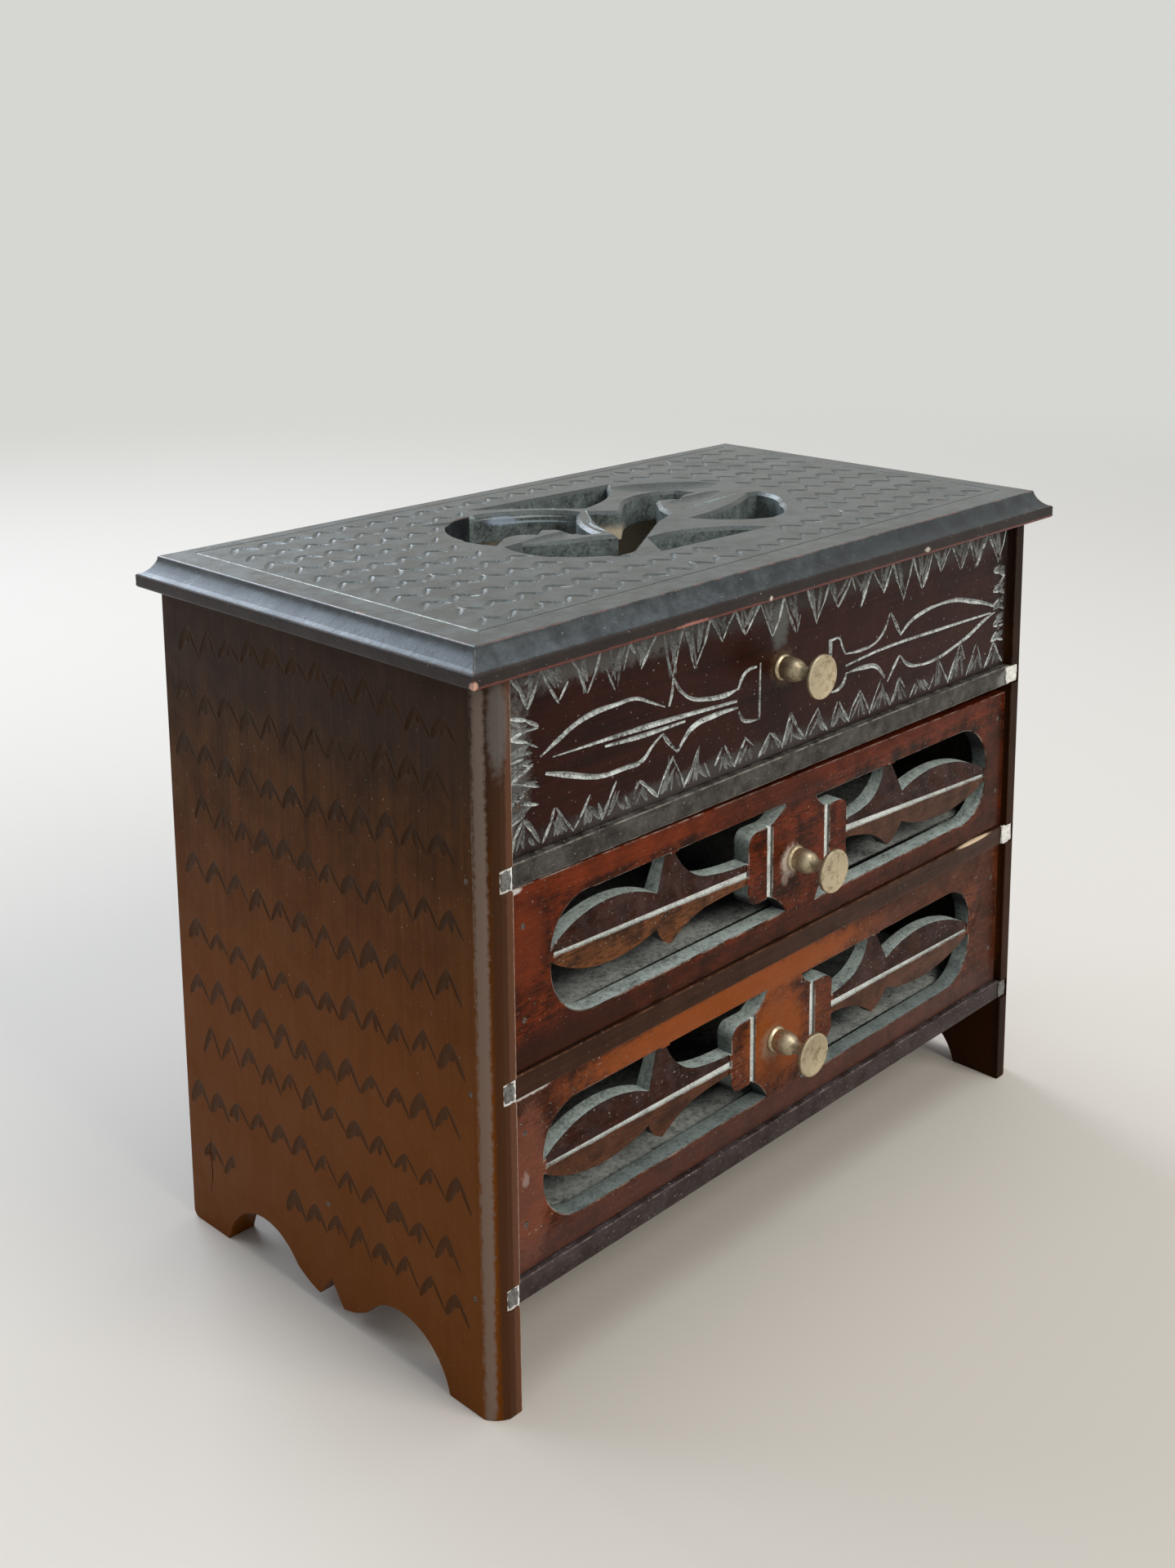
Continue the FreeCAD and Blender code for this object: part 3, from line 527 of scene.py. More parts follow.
# Stained softwood of the back: broad dull streaks and hardly any sheen.
BACK_WOOD = StainedWood(
    "stained_softwood_back", ground="#1b130e", figure="#382a1f", worn="#6a5d52",
    bloom="#5b544c", streak=1.8, run=60.0, roughness=(0.5, 0.65), specular=0.2,
    blooming=0.35, relief=0.4)
# The sides' chip cuts: shallow, dark and a little polished by wear.
CARVED_SIDE = CutWood("stained_hardwood_chipped", bare="#211409", dust="#46290f",
                      settled=(0.1, 0.8), roughness=0.45, specular=0.13, sheen="#c08a58",
                      # painted reflection: the cuts' lower part warmed as by the table, as on the
                      # sides
                      smudges=rubbed((0, 0, 0, 400, 400, 150, "#4c2907", 0.7, 0.15),))
# The top's gouge cuts: dark and glossy, so that each catches a glint.
CARVED_TOP = CutWood("stained_hardwood_gouged", bare="#0f0e0e", dust="#59625f",
                     settled=(0.0, 0.4), roughness=0.27, specular=0.65, sheen="#eaf6f6")
# Pale silvery dashes at the ends of some cuts on the top, which are painted glints, and the pale
# left scribed line.
PAINTED_GLINTS_AND_PALE_LINE = CutWood("stained_hardwood_painted_glints_and_pale_line", bare="#5d6362", dust="#d3dad6",
                    settled=(0.5, 0.95), roughness=0.35, gaps=0.0)
# Sawn walls of the medallion: grey-green dust and raw wood below, with painted highlights as bright
# streaks on the left opening's wall.
MEDALLION_CUT = CutWood(
    "stained_hardwood_pierced", bare="#12181a", dust="#8e9c9a", settled=(0.3, 0.9),
    roughness=0.4, specular=0.5, gaps=0.05, smudges=rubbed(
        (6, 4, 203.4, 24, 26, 5.2, "#d6c8ae", 0.95, 0.4),
        # painted highlights: two long bright streaks and a blue-white patch on the left opening's
        # wall
        (-16, 35, 210.9, 13, 22, 0.45, "#c3d0d2", 0.75, 0.7),
        (-13, 35, 209.2, 11, 22, 0.4, "#b4c6ce", 0.7, 0.7),
        (-20, 38, 209.9, 5, 12, 1.9, "#b3c6de", 0.6, 0.9),
    ))
# Fresh scratches in mahogany: chalk white, broken lines.
INCISED = CutWood("mahogany_incised_dusty", bare="#2e2624", dust="#d6dfdd",
                  settled=(0.65, 1.0), tooling=0.9, gaps=-0.1)
# Fine hatching in mahogany: a grey, patchy tone.
HATCHED = CutWood("mahogany_hatched_grey", bare="#1b1513", dust="#989c9b",
                  settled=(0.5, 0.85), tooling=0.8, gaps=-0.05)
# Sawn mahogany walls: pale blue-green on what faces up, partly dust and partly a painted cool
# skylight, fading to dark below.
SAWN = CutWood("mahogany_sawn_dust_and_painted_skylight", bare="#222424", dust="#bac8c3", settled=(-0.05, 1.0),
               gaps=0.25, smudges=rubbed((0, -59, 44, 500, 30, 8, "#4c5858", 0.6, 0.5),))
# V grooves packed with whiting: the white midribs and bars.
CHALKY = CutWood("mahogany_grooves_chalky", bare="#8d8f8a", dust="#e6ebe8",
                 settled=(0.85, 1.0), tooling=0.8, gaps=0.1)
# Unfinished softwood: the pale clean inside of the top drawer.
RAW = StainedWood("unfinished_softwood", ground="#d8ceba", figure="#ece4d3", worn="#e0d7c5",
                  bloom="#cfcabf", roughness=(0.65, 0.8), specular=0.2,
                  blooming=0.3, streak=1.6, pores=0.08)
# Unfinished softwood painted near black as painted shade, with a grey bloom of dust: the dark
# inside of the lower drawers.
DUSTY_INSIDE_PAINTED_SHADE = StainedWood(
    "unfinished_softwood_painted_dark", ground="#16130f", figure="#2d2822", worn="#6f6f6a",
    bloom="#6c6f6a", roughness=(0.75, 0.85), specular=0.1, blooming=0.3,
    streak=1.6, relief=0.8)
# The same wood's floor: settled grey dust, painted shade that darkens it inwards, and a painted
# shadow line for the gap at the front.
DUSTY_FLOOR = CutWood(
    "unfinished_softwood_floor", bare="#474a48", dust="#b0b6b2", settled=(0.0, 1.0),
    roughness=0.85, tooling=1.6, specular=0.1, gaps=0.1, smudges=rubbed(*(
        row for level in (102.4, 44.2) for row in (
            # painted shade: the floor darkened inwards, away from the front
            (0, 10, level, 118, 44, 5, "#262a2a", 0.85, 0.3),
            (0, -38, level, 118, 10, 5, "#343a3a", 0.85, 0.5),
            # painted shadow: a near black line for the gap at the front
            (0, -56.2, level, 118, 1.3, 5, "#060505", 1.0, 0.6),
        ))))
# Dark mahogany: nearly black red, greyed by dust along the toothed border.
DARK_FRONT = StainedWood(
    "dark_mahogany_incised", ground="#0e0302", figure="#2c0d07", worn="#8a7a72",
    bloom="#4a3a36", streak=0.7, roughness=(0.22, 0.36), specular=0.2,
    sheen="#c09484", blooming=0.06, smudges=rubbed(
        (0, -62, 201.5, 500, 8, 7, "#343130", 0.7, 0.8),
        (0, -62, 154.5, 500, 8, 5, "#2e2a29", 0.6, 0.8),
        (-78, -62, 200, 42, 8, 5.0, "#6c6e6c", 0.4, 1.7),
        (-40, -62, 156, 60, 8, 4.0, "#5a5b59", 0.3, 1.7),
        (-114, -62, 178, 7, 8, 22, "#343130", 0.6, 0.8),
        (-113, -62, 178, 6, 8, 20, "#70716f", 0.45, 1.7),
        (113, -62, 178, 6, 8, 24, "#2d2927", 0.6, 0.8),
        (-7, -62, 193, 4.2, 5, 8, "#626765", 0.65, 1.2),
        (-5.7, -62, 179.8, 5.8, 3, 5.8, "#5a4a3a", 0.6, 1.2),
    ))
# Mahogany, varnished: short dark pores and strong red patches.
MAHOGANY = dict(worn="#b0a79d", streak=0.8, run=30.0, roughness=(0.26, 0.42),
                sheen="#d8905e", pores=0.75, flecked=0.69, patch=9.0, patchiness=0.95)
# The middle front: deep red with orange flares, whiting round the knob.
MIDDLE_FRONT = StainedWood(
    "mahogany_pierced_middle", ground="#1a0803", figure="#65260c", bloom="#5d4438",
    blooming=0.15, specular=0.18, smudges=rubbed(
        (-1.6, -63, 119.0, 5.0, 4, 4.9, "#c2b8ac", 0.85, 1.2),
        (-4.4, -63, 114.2, 1.8, 4, 2.4, "#a89a8e", 0.6, 1.6),
        (-95, -63, 99, 26, 5, 9, "#2a1410", 0.7, 1.0),
        (-72, -63, 143, 40, 5, 3.6, "#7a2f10", 0.4, 0.9),
        (-12, -63, 141, 30, 5, 7, "#3f170c", 0.55, 0.9),
        (0, -63, 97, 500, 5, 6, "#2c150d", 0.65, 0.7),
        (-111, -63, 130, 9, 5, 14, "#6b2d16", 0.6, 0.9),
        (60, -63, 144, 70, 5, 4, "#551d0c", 0.5, 0.8),
        (64, -62.6, 146.3, 48, 1.2, 0.9, "#7f8c90", 0.8, 1.4),
        (109, -63, 117, 8, 5, 22, "#2e170e", 0.7, 0.9),
        (-113.6, -63, 145.4, 2.4, 3, 0.9, "#d8d8d4", 0.8, 0.8),
    ), **MAHOGANY)
# The bottom front: worn to a warm orange in the middle, dusty at the ends.
BOTTOM_FRONT = StainedWood(
    "mahogany_pierced_bottom", ground="#260e07", figure="#6a3217", bloom="#7a5f55",
    blooming=0.3, specular=0.18, smudges=rubbed(
        (-25, -62, 84, 70, 5, 6, "#944c1c", 0.75, 0.9),
        (-7.5, -62, 64, 15, 5, 15, "#964e1e", 0.7, 0.9),
        (-9.0, -62.4, 62.5, 5.5, 3, 5.5, "#8f7d6a", 0.6, 1.4),
        (0, -62, 39, 500, 5, 8, "#46302c", 0.75, 0.9),
        (-110, -62, 62, 8, 5, 26, "#74483a", 0.6, 1.0),
        (80, -62, 84, 45, 5, 6, "#40200f", 0.6, 0.8),
        (108, -62, 62, 8, 5, 24, "#351b11", 0.6, 0.9),
        (-109, -62.4, 88.2, 7, 3, 0.8, "#cfcfca", 0.8, 1.8),
        (-111, -62.4, 64, 1.2, 3, 2.6, "#a99c94", 0.45, 2.0),
    ), **MAHOGANY)
# Upper halves of the leaves: darker, as painted shade, with a violet-grey bloom of dust.
LEAF_UPPER_DUST_AND_SHADE = StainedWood(
    "mahogany_leaf_dust_and_painted_shade", ground="#120806", figure="#331810", bloom="#6b6064", blooming=0.5,
    specular=0.18, **MAHOGANY)
# Lower halves of the leaves: a lighter, warmer brown that is a painted reflection of the table,
# toned darker on most leaves.
LEAF_LOWER_PAINTED_REFLECTION = StainedWood(
    "mahogany_leaf_painted_warm_reflection", ground="#2c160b", figure="#6e4020", bloom="#7d6a58", blooming=0.25,
    specular=0.18, smudges=rubbed(
        (66, -62, 118, 46, 8, 20, "#2f1a13", 0.65, 0.9),
        (0, -62, 63, 140, 8, 20, "#3c221a", 0.6, 0.9),
    ), **MAHOGANY)
# Turned brass: dull gold with brown blotches.
BRASS = TarnishedBrass()
# Panel pins: grey dots with rust.
IRON = RustedIron()
# Putty in the left housings: soiled grey.
GREY_PUTTY = OldPutty("housing_putty_grey", "#7d7e7b", "#4a4640")
# Putty on the right and round the left dabs: nearly white.
WHITE_PUTTY = OldPutty("housing_putty_white", "#f3f4f1", "#b9b8b2")


# ---------------------------------------------------------------- cutting and joining


@dataclass(frozen=True)
class Face:
    """A flat face of a board that carving is laid out on."""

    origin: Triple
    across: Triple
    up: Triple

    def matrix(self) -> Matrix:
        """Return the turn from across, up and outwards in millimetres to the frame in metres."""
        across, up = Vector(self.across), Vector(self.up)
        outwards = across.cross(up)
        turn = Matrix((across, up, outwards)).transposed().to_4x4()
        return Matrix.Translation(Vector(self.origin) * MM) @ Matrix.Scale(MM, 4) @ turn


@dataclass(frozen=True)
class Stroke:
    """One boat-shaped cut of a V tool, deepest at its middle."""

    start: Point
    end: Point
    width: float
    depth: float

    def add_to(self, cutter: bmesh.types.BMesh) -> None:
        """Add this stroke's waste to a cutter."""
        start, end = Vector((*self.start, 0)), Vector((*self.end, 0))
        along = (end - start) / 2
        side = Vector((-along.y, along.x, 0)).normalized() * self.width / 2
        inward = Vector((0, 0, -self.depth))
        place = Matrix((side, inward, along)).transposed().to_4x4()
        place.translation = (start + end) / 2 + Vector((0, 0, PROUD * self.depth))
        bmesh.ops.create_uvsphere(cutter, u_segments=4, v_segments=6, radius=1.0, matrix=place)


@dataclass(frozen=True)
class Groove:
    """One long cut of a V tool that follows a drawn line and thins out at its ends."""

    points: tuple[Point, ...]
    width: float = 1.0
    depth: float = 0.5
    ends: float = 0.4
    waver: float = 0.0

    def add_to(self, cutter: bmesh.types.BMesh) -> None:
        """Add this groove's waste to a cutter."""
        drift = random.Random(repr(self.points))
        line = bpy.data.curves.new("groove", "CURVE")
        line.dimensions, line.twist_mode, line.resolution_u = "3D", "Z_UP", 5
        line.bevel_depth, line.bevel_resolution, line.use_fill_caps = self.width / 2, 0, True
        spline = line.splines.new("BEZIER")
        spline.bezier_points.add(len(self.points) - 1)
        for index, (knot, place) in enumerate(zip(spline.bezier_points, self.points)):
            shift = [drift.uniform(-0.3, 0.3) * self.waver for _ in place]
            knot.co = (place[0] + shift[0], place[1] + shift[1], 0)
            knot.handle_left_type = knot.handle_right_type = "AUTO"
            knot.radius = self.ends if index in (0, len(self.points) - 1) else 1.0
            knot.radius *= 1.0 + drift.uniform(-0.45, 0.35) * self.waver
        holder = bpy.data.objects.new("groove", line)
        mesh = bpy.data.meshes.new_from_object(holder)
        flatten = Matrix.Diagonal((1, 1, 2 * self.depth / self.width, 1))
        mesh.transform(Matrix.Translation((0, 0, PROUD * self.depth)) @ flatten)
        cutter.from_mesh(mesh)
        bmesh.ops.remove_doubles(cutter, verts=cutter.verts, dist=WELD)
        bpy.data.objects.remove(holder)
        bpy.data.meshes.remove(mesh)
        bpy.data.curves.remove(line)


@dataclass(frozen=True)
class Shaving:
    """A slanting cut of a chisel, which falls away evenly from a ridge."""

    ridge: tuple[Point, Point]
    corners: tuple[Point, ...]
    slope: float

    def add_to(self, cutter: bmesh.types.BMesh) -> None:
        """Add this shaving's waste to a cutter."""
        start, end = (Vector(place) for place in self.ridge)
        along = (end - start).normalized()
        hull = []
        for place in self.ridge + self.corners:
            depth = self.slope * abs(along.cross(Vector(place) - start))
            hull += [cutter.verts.new((*place, height)) for height in (0.02 - depth, 1.0)]
        bmesh.ops.convex_hull(cutter, input=hull)


@dataclass(frozen=True)
class Scoop:
    """A shallow oval hollow left by a broad gouge."""

    centre: Point
    half: Point
    turn: float
    depth: float

    def add_to(self, cutter: bmesh.types.BMesh) -> None:
        """Add this hollow's waste to a cutter."""
        rim = 0.78  # a sphere sunk to three eighths of its half height is so wide at the face
        size = (self.half[0] / rim, self.half[1] / rim, self.depth / 0.375)
        place = Matrix.Translation((*self.centre, self.depth / 0.6))
        place = place @ Matrix.Rotation(math.radians(self.turn), 4, "Z")
        place = place @ Matrix.Diagonal((*size, 1.0))
        bmesh.ops.create_uvsphere(cutter, u_segments=32, v_segments=20, radius=1.0, matrix=place)


def link(name: str, mesh: Mesh) -> bpy.types.Object:
    """Put a mesh into the scene as a piece at the origin."""
    piece = bpy.data.objects.new(name, mesh)
    bpy.context.scene.collection.objects.link(piece)
    return piece


def made_mesh(shape: bmesh.types.BMesh, name: str) -> Mesh:
    """Turn a finished shape into a mesh."""
    mesh = bpy.data.meshes.new(name)
    shape.to_mesh(mesh)
    shape.free()
    return mesh


def finish_piece(name: str, mesh: Mesh, body: str,
                 stands_for: str | None = None) -> None:
    """Put a finished mesh on its body.

    Args:
        name: the piece's name.
        mesh: its shape, with its materials.
        body: the body that it moves with.
        stands_for: the solid that it replaces.
    """
    piece = link(name, mesh)
    if stands_for is not None:
        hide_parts(stands_for)
    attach(piece, body)
    LOG.info("%s finished, %d faces", name, len(mesh.polygons))


def soften(mesh: Mesh, degrees: float) -> None:
    """Shade a mesh smoothly, apart from sharp turns and edges where two finishes meet."""
    mesh.shade_smooth()
    mesh.set_sharp_from_angle(angle=math.radians(degrees))
    shape = bmesh.new()
    shape.from_mesh(mesh)
    for edge in shape.edges:
        if len({facet.material_index for facet in edge.link_faces}) > 1:
            edge.smooth = False
    shape.to_mesh(mesh)
    shape.free()


def reserve_slots(mesh: Mesh) -> None:
    """Give a mesh empty material slots, for its own finish and for what is cut."""
    for _ in range(COATS):
        mesh.materials.append(None)


class Board:
    """A wooden board: a copy of its solid with softened arrises, ready for carving.

    Attributes:
        node: the solid's name.
        mesh: the board's shape so far.
    """

    def __init__(self, name: str, arris: float = 0.3,
                 rims: Callable[[Vector], bool] | None = None, rim: float = 0.9) -> None:
        """Copy a solid, merge its triangles, bevel its rims and round its long arrises.

        Args:
            name: the solid's name.
            arris: how far each arris is rounded.
            rims: tells by its middle whether an edge belongs to a bevelled rim.
            rim: how wide those bevels are.
        """
        self.node = name
        shape = bmesh.new()
        shape.from_mesh(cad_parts[name].data)
        bmesh.ops.remove_doubles(shape, verts=shape.verts, dist=WELD * MM)
        bmesh.ops.dissolve_limit(shape, angle_limit=math.radians(FLAT), verts=shape.verts,
                                 edges=shape.edges)
        worn = shape.faces.layers.float.new("arris")

        def bevel(edges: list, width: float, segments: int, wear: float) -> None:
            """Bevel some edges and note how worn the new faces are."""
            made = bmesh.ops.bevel(shape, geom=edges, offset=width * MM, offset_type="OFFSET",
                                   segments=segments, profile=0.5, affect="EDGES",
                                   material=-1, clamp_overlap=False)
            for facet in made["faces"]:
                facet[worn] = wear

        if rims is not None:
            bevel([edge for edge in shape.edges if self.is_arris(edge)
                   and rims((edge.verts[0].co + edge.verts[1].co) / 2 / MM)], rim, 1, 0.5)
        bevel([edge for edge in shape.edges if self.is_arris(edge)
               and all(facet[worn] == 0 for facet in edge.link_faces)], arris, 2, 1.0)
        bmesh.ops.dissolve_degenerate(shape, edges=shape.edges, dist=WELD * MM)
        self.mesh = made_mesh(shape, name + "_board")
        reserve_slots(self.mesh)

    @staticmethod
    def is_arris(edge: bmesh.types.BMEdge) -> bool:
        """Tell whether an edge is a sharp outer corner, and not the rim of a pin hole."""
        turns = edge.is_manifold and edge.calc_face_angle_signed(0) > math.radians(CORNER)
        return turns and edge.calc_length() > SHORTEST_ARRIS * MM

    def carve(self, face: Face, cuts: list[list], finish: int = 1) -> None:
        """Cut strokes, grooves and hollows into a face.

        Args:
            face: where the cuts are laid out.
            cuts: lists of cuts, of which no two in one list may overlap.
            finish: which of the board's finishes the cuts lay bare.
        """
        holder = link(self.node + "_blank", self.mesh)
        cutters = []
        for number, group in enumerate(cuts):
            waste = bmesh.new()
            for cut in group:
                cut.add_to(waste)
            bmesh.ops.recalc_face_normals(waste, faces=waste.faces)
            waste.transform(face.matrix())
            for facet in waste.faces:
                facet.material_index = finish
            mesh = made_mesh(waste, "waste")
            reserve_slots(mesh)
            cutters.append(link(f"waste_{number}", mesh))
            cutting = holder.modifiers.new("cut", "BOOLEAN")
            cutting.operation, cutting.solver = "DIFFERENCE", "MANIFOLD"
            cutting.object = cutters[-1]
        carved = self.evaluated(holder)
        LOG.info("%s: %d cuts, %d faces", self.node, sum(len(group) for group in cuts),
                 len(carved.polygons))
        bpy.data.objects.remove(holder)
        for cutter in cutters:
            bpy.data.objects.remove(cutter)
        self.mesh = carved

    @staticmethod
    def evaluated(holder: bpy.types.Object) -> Mesh:
        """Return an object's mesh with its modifiers applied."""
        depsgraph = bpy.context.evaluated_depsgraph_get()
        return bpy.data.meshes.new_from_object(holder.evaluated_get(depsgraph))

    def tidy_slivers(self) -> None:
        """Merge points that carving has left almost on each other, if that opens no hole."""
        shape = bmesh.new()
        shape.from_mesh(self.mesh)
        bmesh.ops.remove_doubles(shape, verts=shape.verts, dist=SLIVER * MM)
        bmesh.ops.dissolve_degenerate(shape, edges=shape.edges, dist=SLIVER * MM)
        loose = [corner for corner in shape.verts if not corner.link_faces]
        bmesh.ops.delete(shape, geom=loose, context="VERTS")
        if not any(edge.is_boundary or edge.is_wire for edge in shape.edges):
            shape.to_mesh(self.mesh)
        shape.free()

    def dress(self, body: str, slot: Slot, finish: Finish, *cuts: Finish) -> None:
        """Turn the board into a finished piece that stands for its solid.

        Args:
            body: the body that the board moves with.
            slot: the record's material slot; not used.
            finish: the board's own finish.
            *cuts: the finishes of what carving has laid bare, up to five.
        """
        self.tidy_slivers()
        coats = (finish, *cuts)
        for index in range(COATS):
            self.mesh.materials[index] = coats[min(index, len(coats) - 1)].material()
        soften(self.mesh, BOARD_TURN)
        finish_piece(self.node + "_wood", self.mesh, body, self.node)


# ---------------------------------------------------------------- the case


@dataclass
class CarvedSide:
    """One side board, chip-carved with rows of zigzags from top to foot."""

    name: str
    hand: int
    rows: tuple[float, ...] = (190, 173, 155, 137, 118, 98, 80, 63, 45, 28)
    pitch: float = 10.3
    rise: float = 8.0
    width: float = 2.5
    depth: float = 0.26
    front: float = -57.0
    back: float = 73.0

    def face(self) -> Face:
        """Return the board's outer face."""
        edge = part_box(self.name)[0 if self.hand < 0 else 1].x / MM
        return Face((edge, 0, 0), (0, float(self.hand), 0), (0, 0, 1))

    def zigzags(self) -> list[list[Stroke]]:
        """Lay out rows of zigzags, as lists of rising, falling and nested cuts."""
        drift = random.Random(7 if self.hand < 0 else 8)
        rising, falling, nested = [], [], []
        for level in self.rows:
            place = self.front + drift.uniform(0, 5)
            while place + self.pitch < self.back:
                step = self.pitch + drift.uniform(-0.7, 0.7)
                sway = 1.6 * math.sin(place / 23 + level)
                foot = level + sway - self.rise / 2 + drift.uniform(-1.1, 1.1)
                head = level + sway + self.rise / 2 + drift.uniform(-1.2, 1.2)
                width = self.width * drift.uniform(0.65, 1.2)
                depth = self.depth * drift.uniform(0.6, 1.25)
                for cuts, start, end in (
                    (rising, (place, foot), (place + step * 0.55, head)),
                    (falling, (place + step * 0.5, head), (place + step, foot)),
                ):
                    ends = [(self.hand * across, up) for across, up in (start, end)]
                    share = 0.65 if cuts is rising else 1.25
                    if self.on_board(start) and self.on_board(end):
                        cuts.append(Stroke(ends[0], ends[1], width * share, depth * share))
                peak = self.hand * (place + step * drift.uniform(0.48, 0.6))
                if self.on_board((place + step / 2, foot)):
                    low = head - self.rise * drift.uniform(0.5, 0.85)
                    nested.append(Stroke((peak, head - 0.6), (peak + drift.uniform(-1.2, 1.2), low),
                                         width * 1.25, depth * 0.8))
                place += step
        return [rising, falling, nested]

    @staticmethod
    def on_board(place: Point) -> bool:
        """Tell whether a point lies on the board and not in the arch between its feet."""
        across, up = place
        from_middle = abs(across - 5.0)
        return up > 22 or from_middle > 46 and up > 8

    def build(self) -> None:
        """Carve and dress the board."""
        board = Board(self.name)
        board.carve(self.face(), self.zigzags())
        crack = ((65, 12), (63.6, 19), (64.2, 26), (63.2, 33))
        crack = tuple((self.hand * across, up) for across, up in crack)
        board.carve(self.face(), [[Groove(crack, 0.5, 0.6, 0.2)]])
        board.dress("case", Slot.EBONISED, SIDE_WOOD, CARVED_SIDE)


@dataclass
class CarvedTop:
    """The coved top board with its scribed border, zigzag field and pierced medallion."""

    border: tuple[float, float, float, float] = (-117.2, -55.0, 119.5, 68.0)
    pitch: float = 10.0
    row_step: float = 11.0
    rise: float = 6.0
    width: float = 2.6
    depth: float = 0.5
    medallion: tuple[float, float, float, float] = (6.0, 9.0, 63.0, 45.5)
    lip: float = 207.3
    rim: float = 212.4
    level: float = 0.9
    steep: float = 0.5

    def face(self) -> Face:
        """Return the board's upper face."""
        return Face((0, 0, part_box("top_board")[1].z / MM), (1, 0, 0), (0, 1, 0))

    def outside_medallion(self, place: Point) -> bool:
        """Tell whether a point lies clear of the pierced medallion."""
        across, deep, half_long, half_wide = self.medallion
        reach = math.hypot((place[0] - across) / half_long, (place[1] - deep) / half_wide)
        return reach > 1.0

    def zigzags(self) -> tuple[list[list[Stroke]], list[list[Stroke]]]:
        """Lay out the field's rows of zigzags, and dashes of painted glints at the ends of some of
        their cuts.
        """
        drift = random.Random(11)
        left, front, right, back = self.border
        rising, falling, bright = [], [], []
        level = front + 6.0
        while level < back - 4:
            place = left + drift.uniform(2, 6)
            while place + self.pitch < right - 1:
                step = self.pitch + drift.uniform(-0.6, 0.6)
                foot = level - self.rise / 2 + drift.uniform(-0.5, 0.5)
                head = level + self.rise / 2 + drift.uniform(-0.5, 0.5)
                width = self.width * drift.uniform(0.8, 1.2)
                for cuts, start, end in (
                    (rising, (place, foot), (place + step * 0.6, head)),
                    (falling, (place + step * 0.55, head), (place + step, foot)),
                ):
                    if self.outside_medallion(start) and self.outside_medallion(end):
                        cuts.append(Stroke(start, end, width, self.depth))
                        # painted glints: pale dashes on some falling cuts, more of them towards the
                        # left
                        if cuts is falling and drift.random() < 0.6 - place / 700:
                            share = drift.uniform(-0.1, 0.35)
                            half = (start[0] + (end[0] - start[0]) * share,
                                    start[1] + (end[1] - start[1]) * share)
                            bright.append(Stroke(half, end, width * drift.uniform(0.35, 0.7),
                                                 self.depth * 1.15))
                place += step
            level += self.row_step
        return [rising, falling], [bright]

    def scribed_border(self) -> list[list[Groove]]:
        """Return the border's four scribed lines, each in a list of its own."""
        left, front, right, back = self.border
        corners = [(left, back), (left, front), (right, front), (right, back)]
        lines = zip(corners, corners[1:] + corners[:1])
        return [[Groove((start, end), width=0.7, depth=0.3, ends=1.0)] for start, end in lines]

    def in_opening(self, place: Vector) -> bool:
        """Tell whether a point lies on the upper rim of the medallion's openings."""
        return not self.outside_medallion((place.x, place.y)) and place.z > self.rim

    def mark_walls(self, board: Board) -> None:
        """Give the medallion's walls cut finish 3, its rims 1, the cove 4 and the lip 5."""
        for facet in board.mesh.polygons:
            middle, rise = facet.center / MM, abs(facet.normal.z)
            if self.outside_medallion((middle.x, middle.y)):
                moulding = 5 if middle.z < self.lip else 4
                facet.material_index = moulding if rise < self.level else 0
            elif rise < self.level:
                facet.material_index = 3 if rise < self.steep else 1

    def build(self) -> None:
        """Carve and dress the board."""
        board = Board("top_board", 0.3, self.in_opening, 1.1)
        self.mark_walls(board)
        zigzags, bright = self.zigzags()
        scribed = self.scribed_border()
        board.carve(self.face(), zigzags + scribed[1:])
        # finish 2 paints glints on these dashes and makes the left scribed line pale
        board.carve(self.face(), bright + scribed[:1], 2)
        board.carve(self.face(), [[hollow] for hollow in MEDALLION_HOLLOWS], 1)
        board.carve(self.face(), [[line] for line in MEDALLION_RIBS], 3)
        board.dress("case", Slot.EBONISED, TOP_WOOD, CARVED_TOP, PAINTED_GLINTS_AND_PALE_LINE, MEDALLION_CUT,
                    MOULDING, LIP)


MEDALLION_HOLLOWS = (
    Scoop((47, 33), (20, 7.5), -33, 1.5),
    Scoop((40, 13), (15, 3.6), 4, 0.9),
    Scoop((-34, 39), (18, 3.2), -24, 0.8),
    Scoop((-33, 6), (15, 3.4), 4, 0.8),
)
MEDALLION_RIBS = (
    Groove(((22, 3), (38, 5.2), (55, 7)), 1.8, 0.8),
    Groove(((-20, 48), (-4, 35), (2.4, 28.5)), 1.3, 0.6),
    Groove(((1.5, 26), (-5, 17), (-11.6, 10.8), (-17, -6)), 1.3, 0.6),
    Groove(((14, 46), (30, 44), (46, 38)), 1.2, 0.5),
    Groove(((-52, 33), (-38, 26), (-22, 21)), 1.2, 0.5),
)


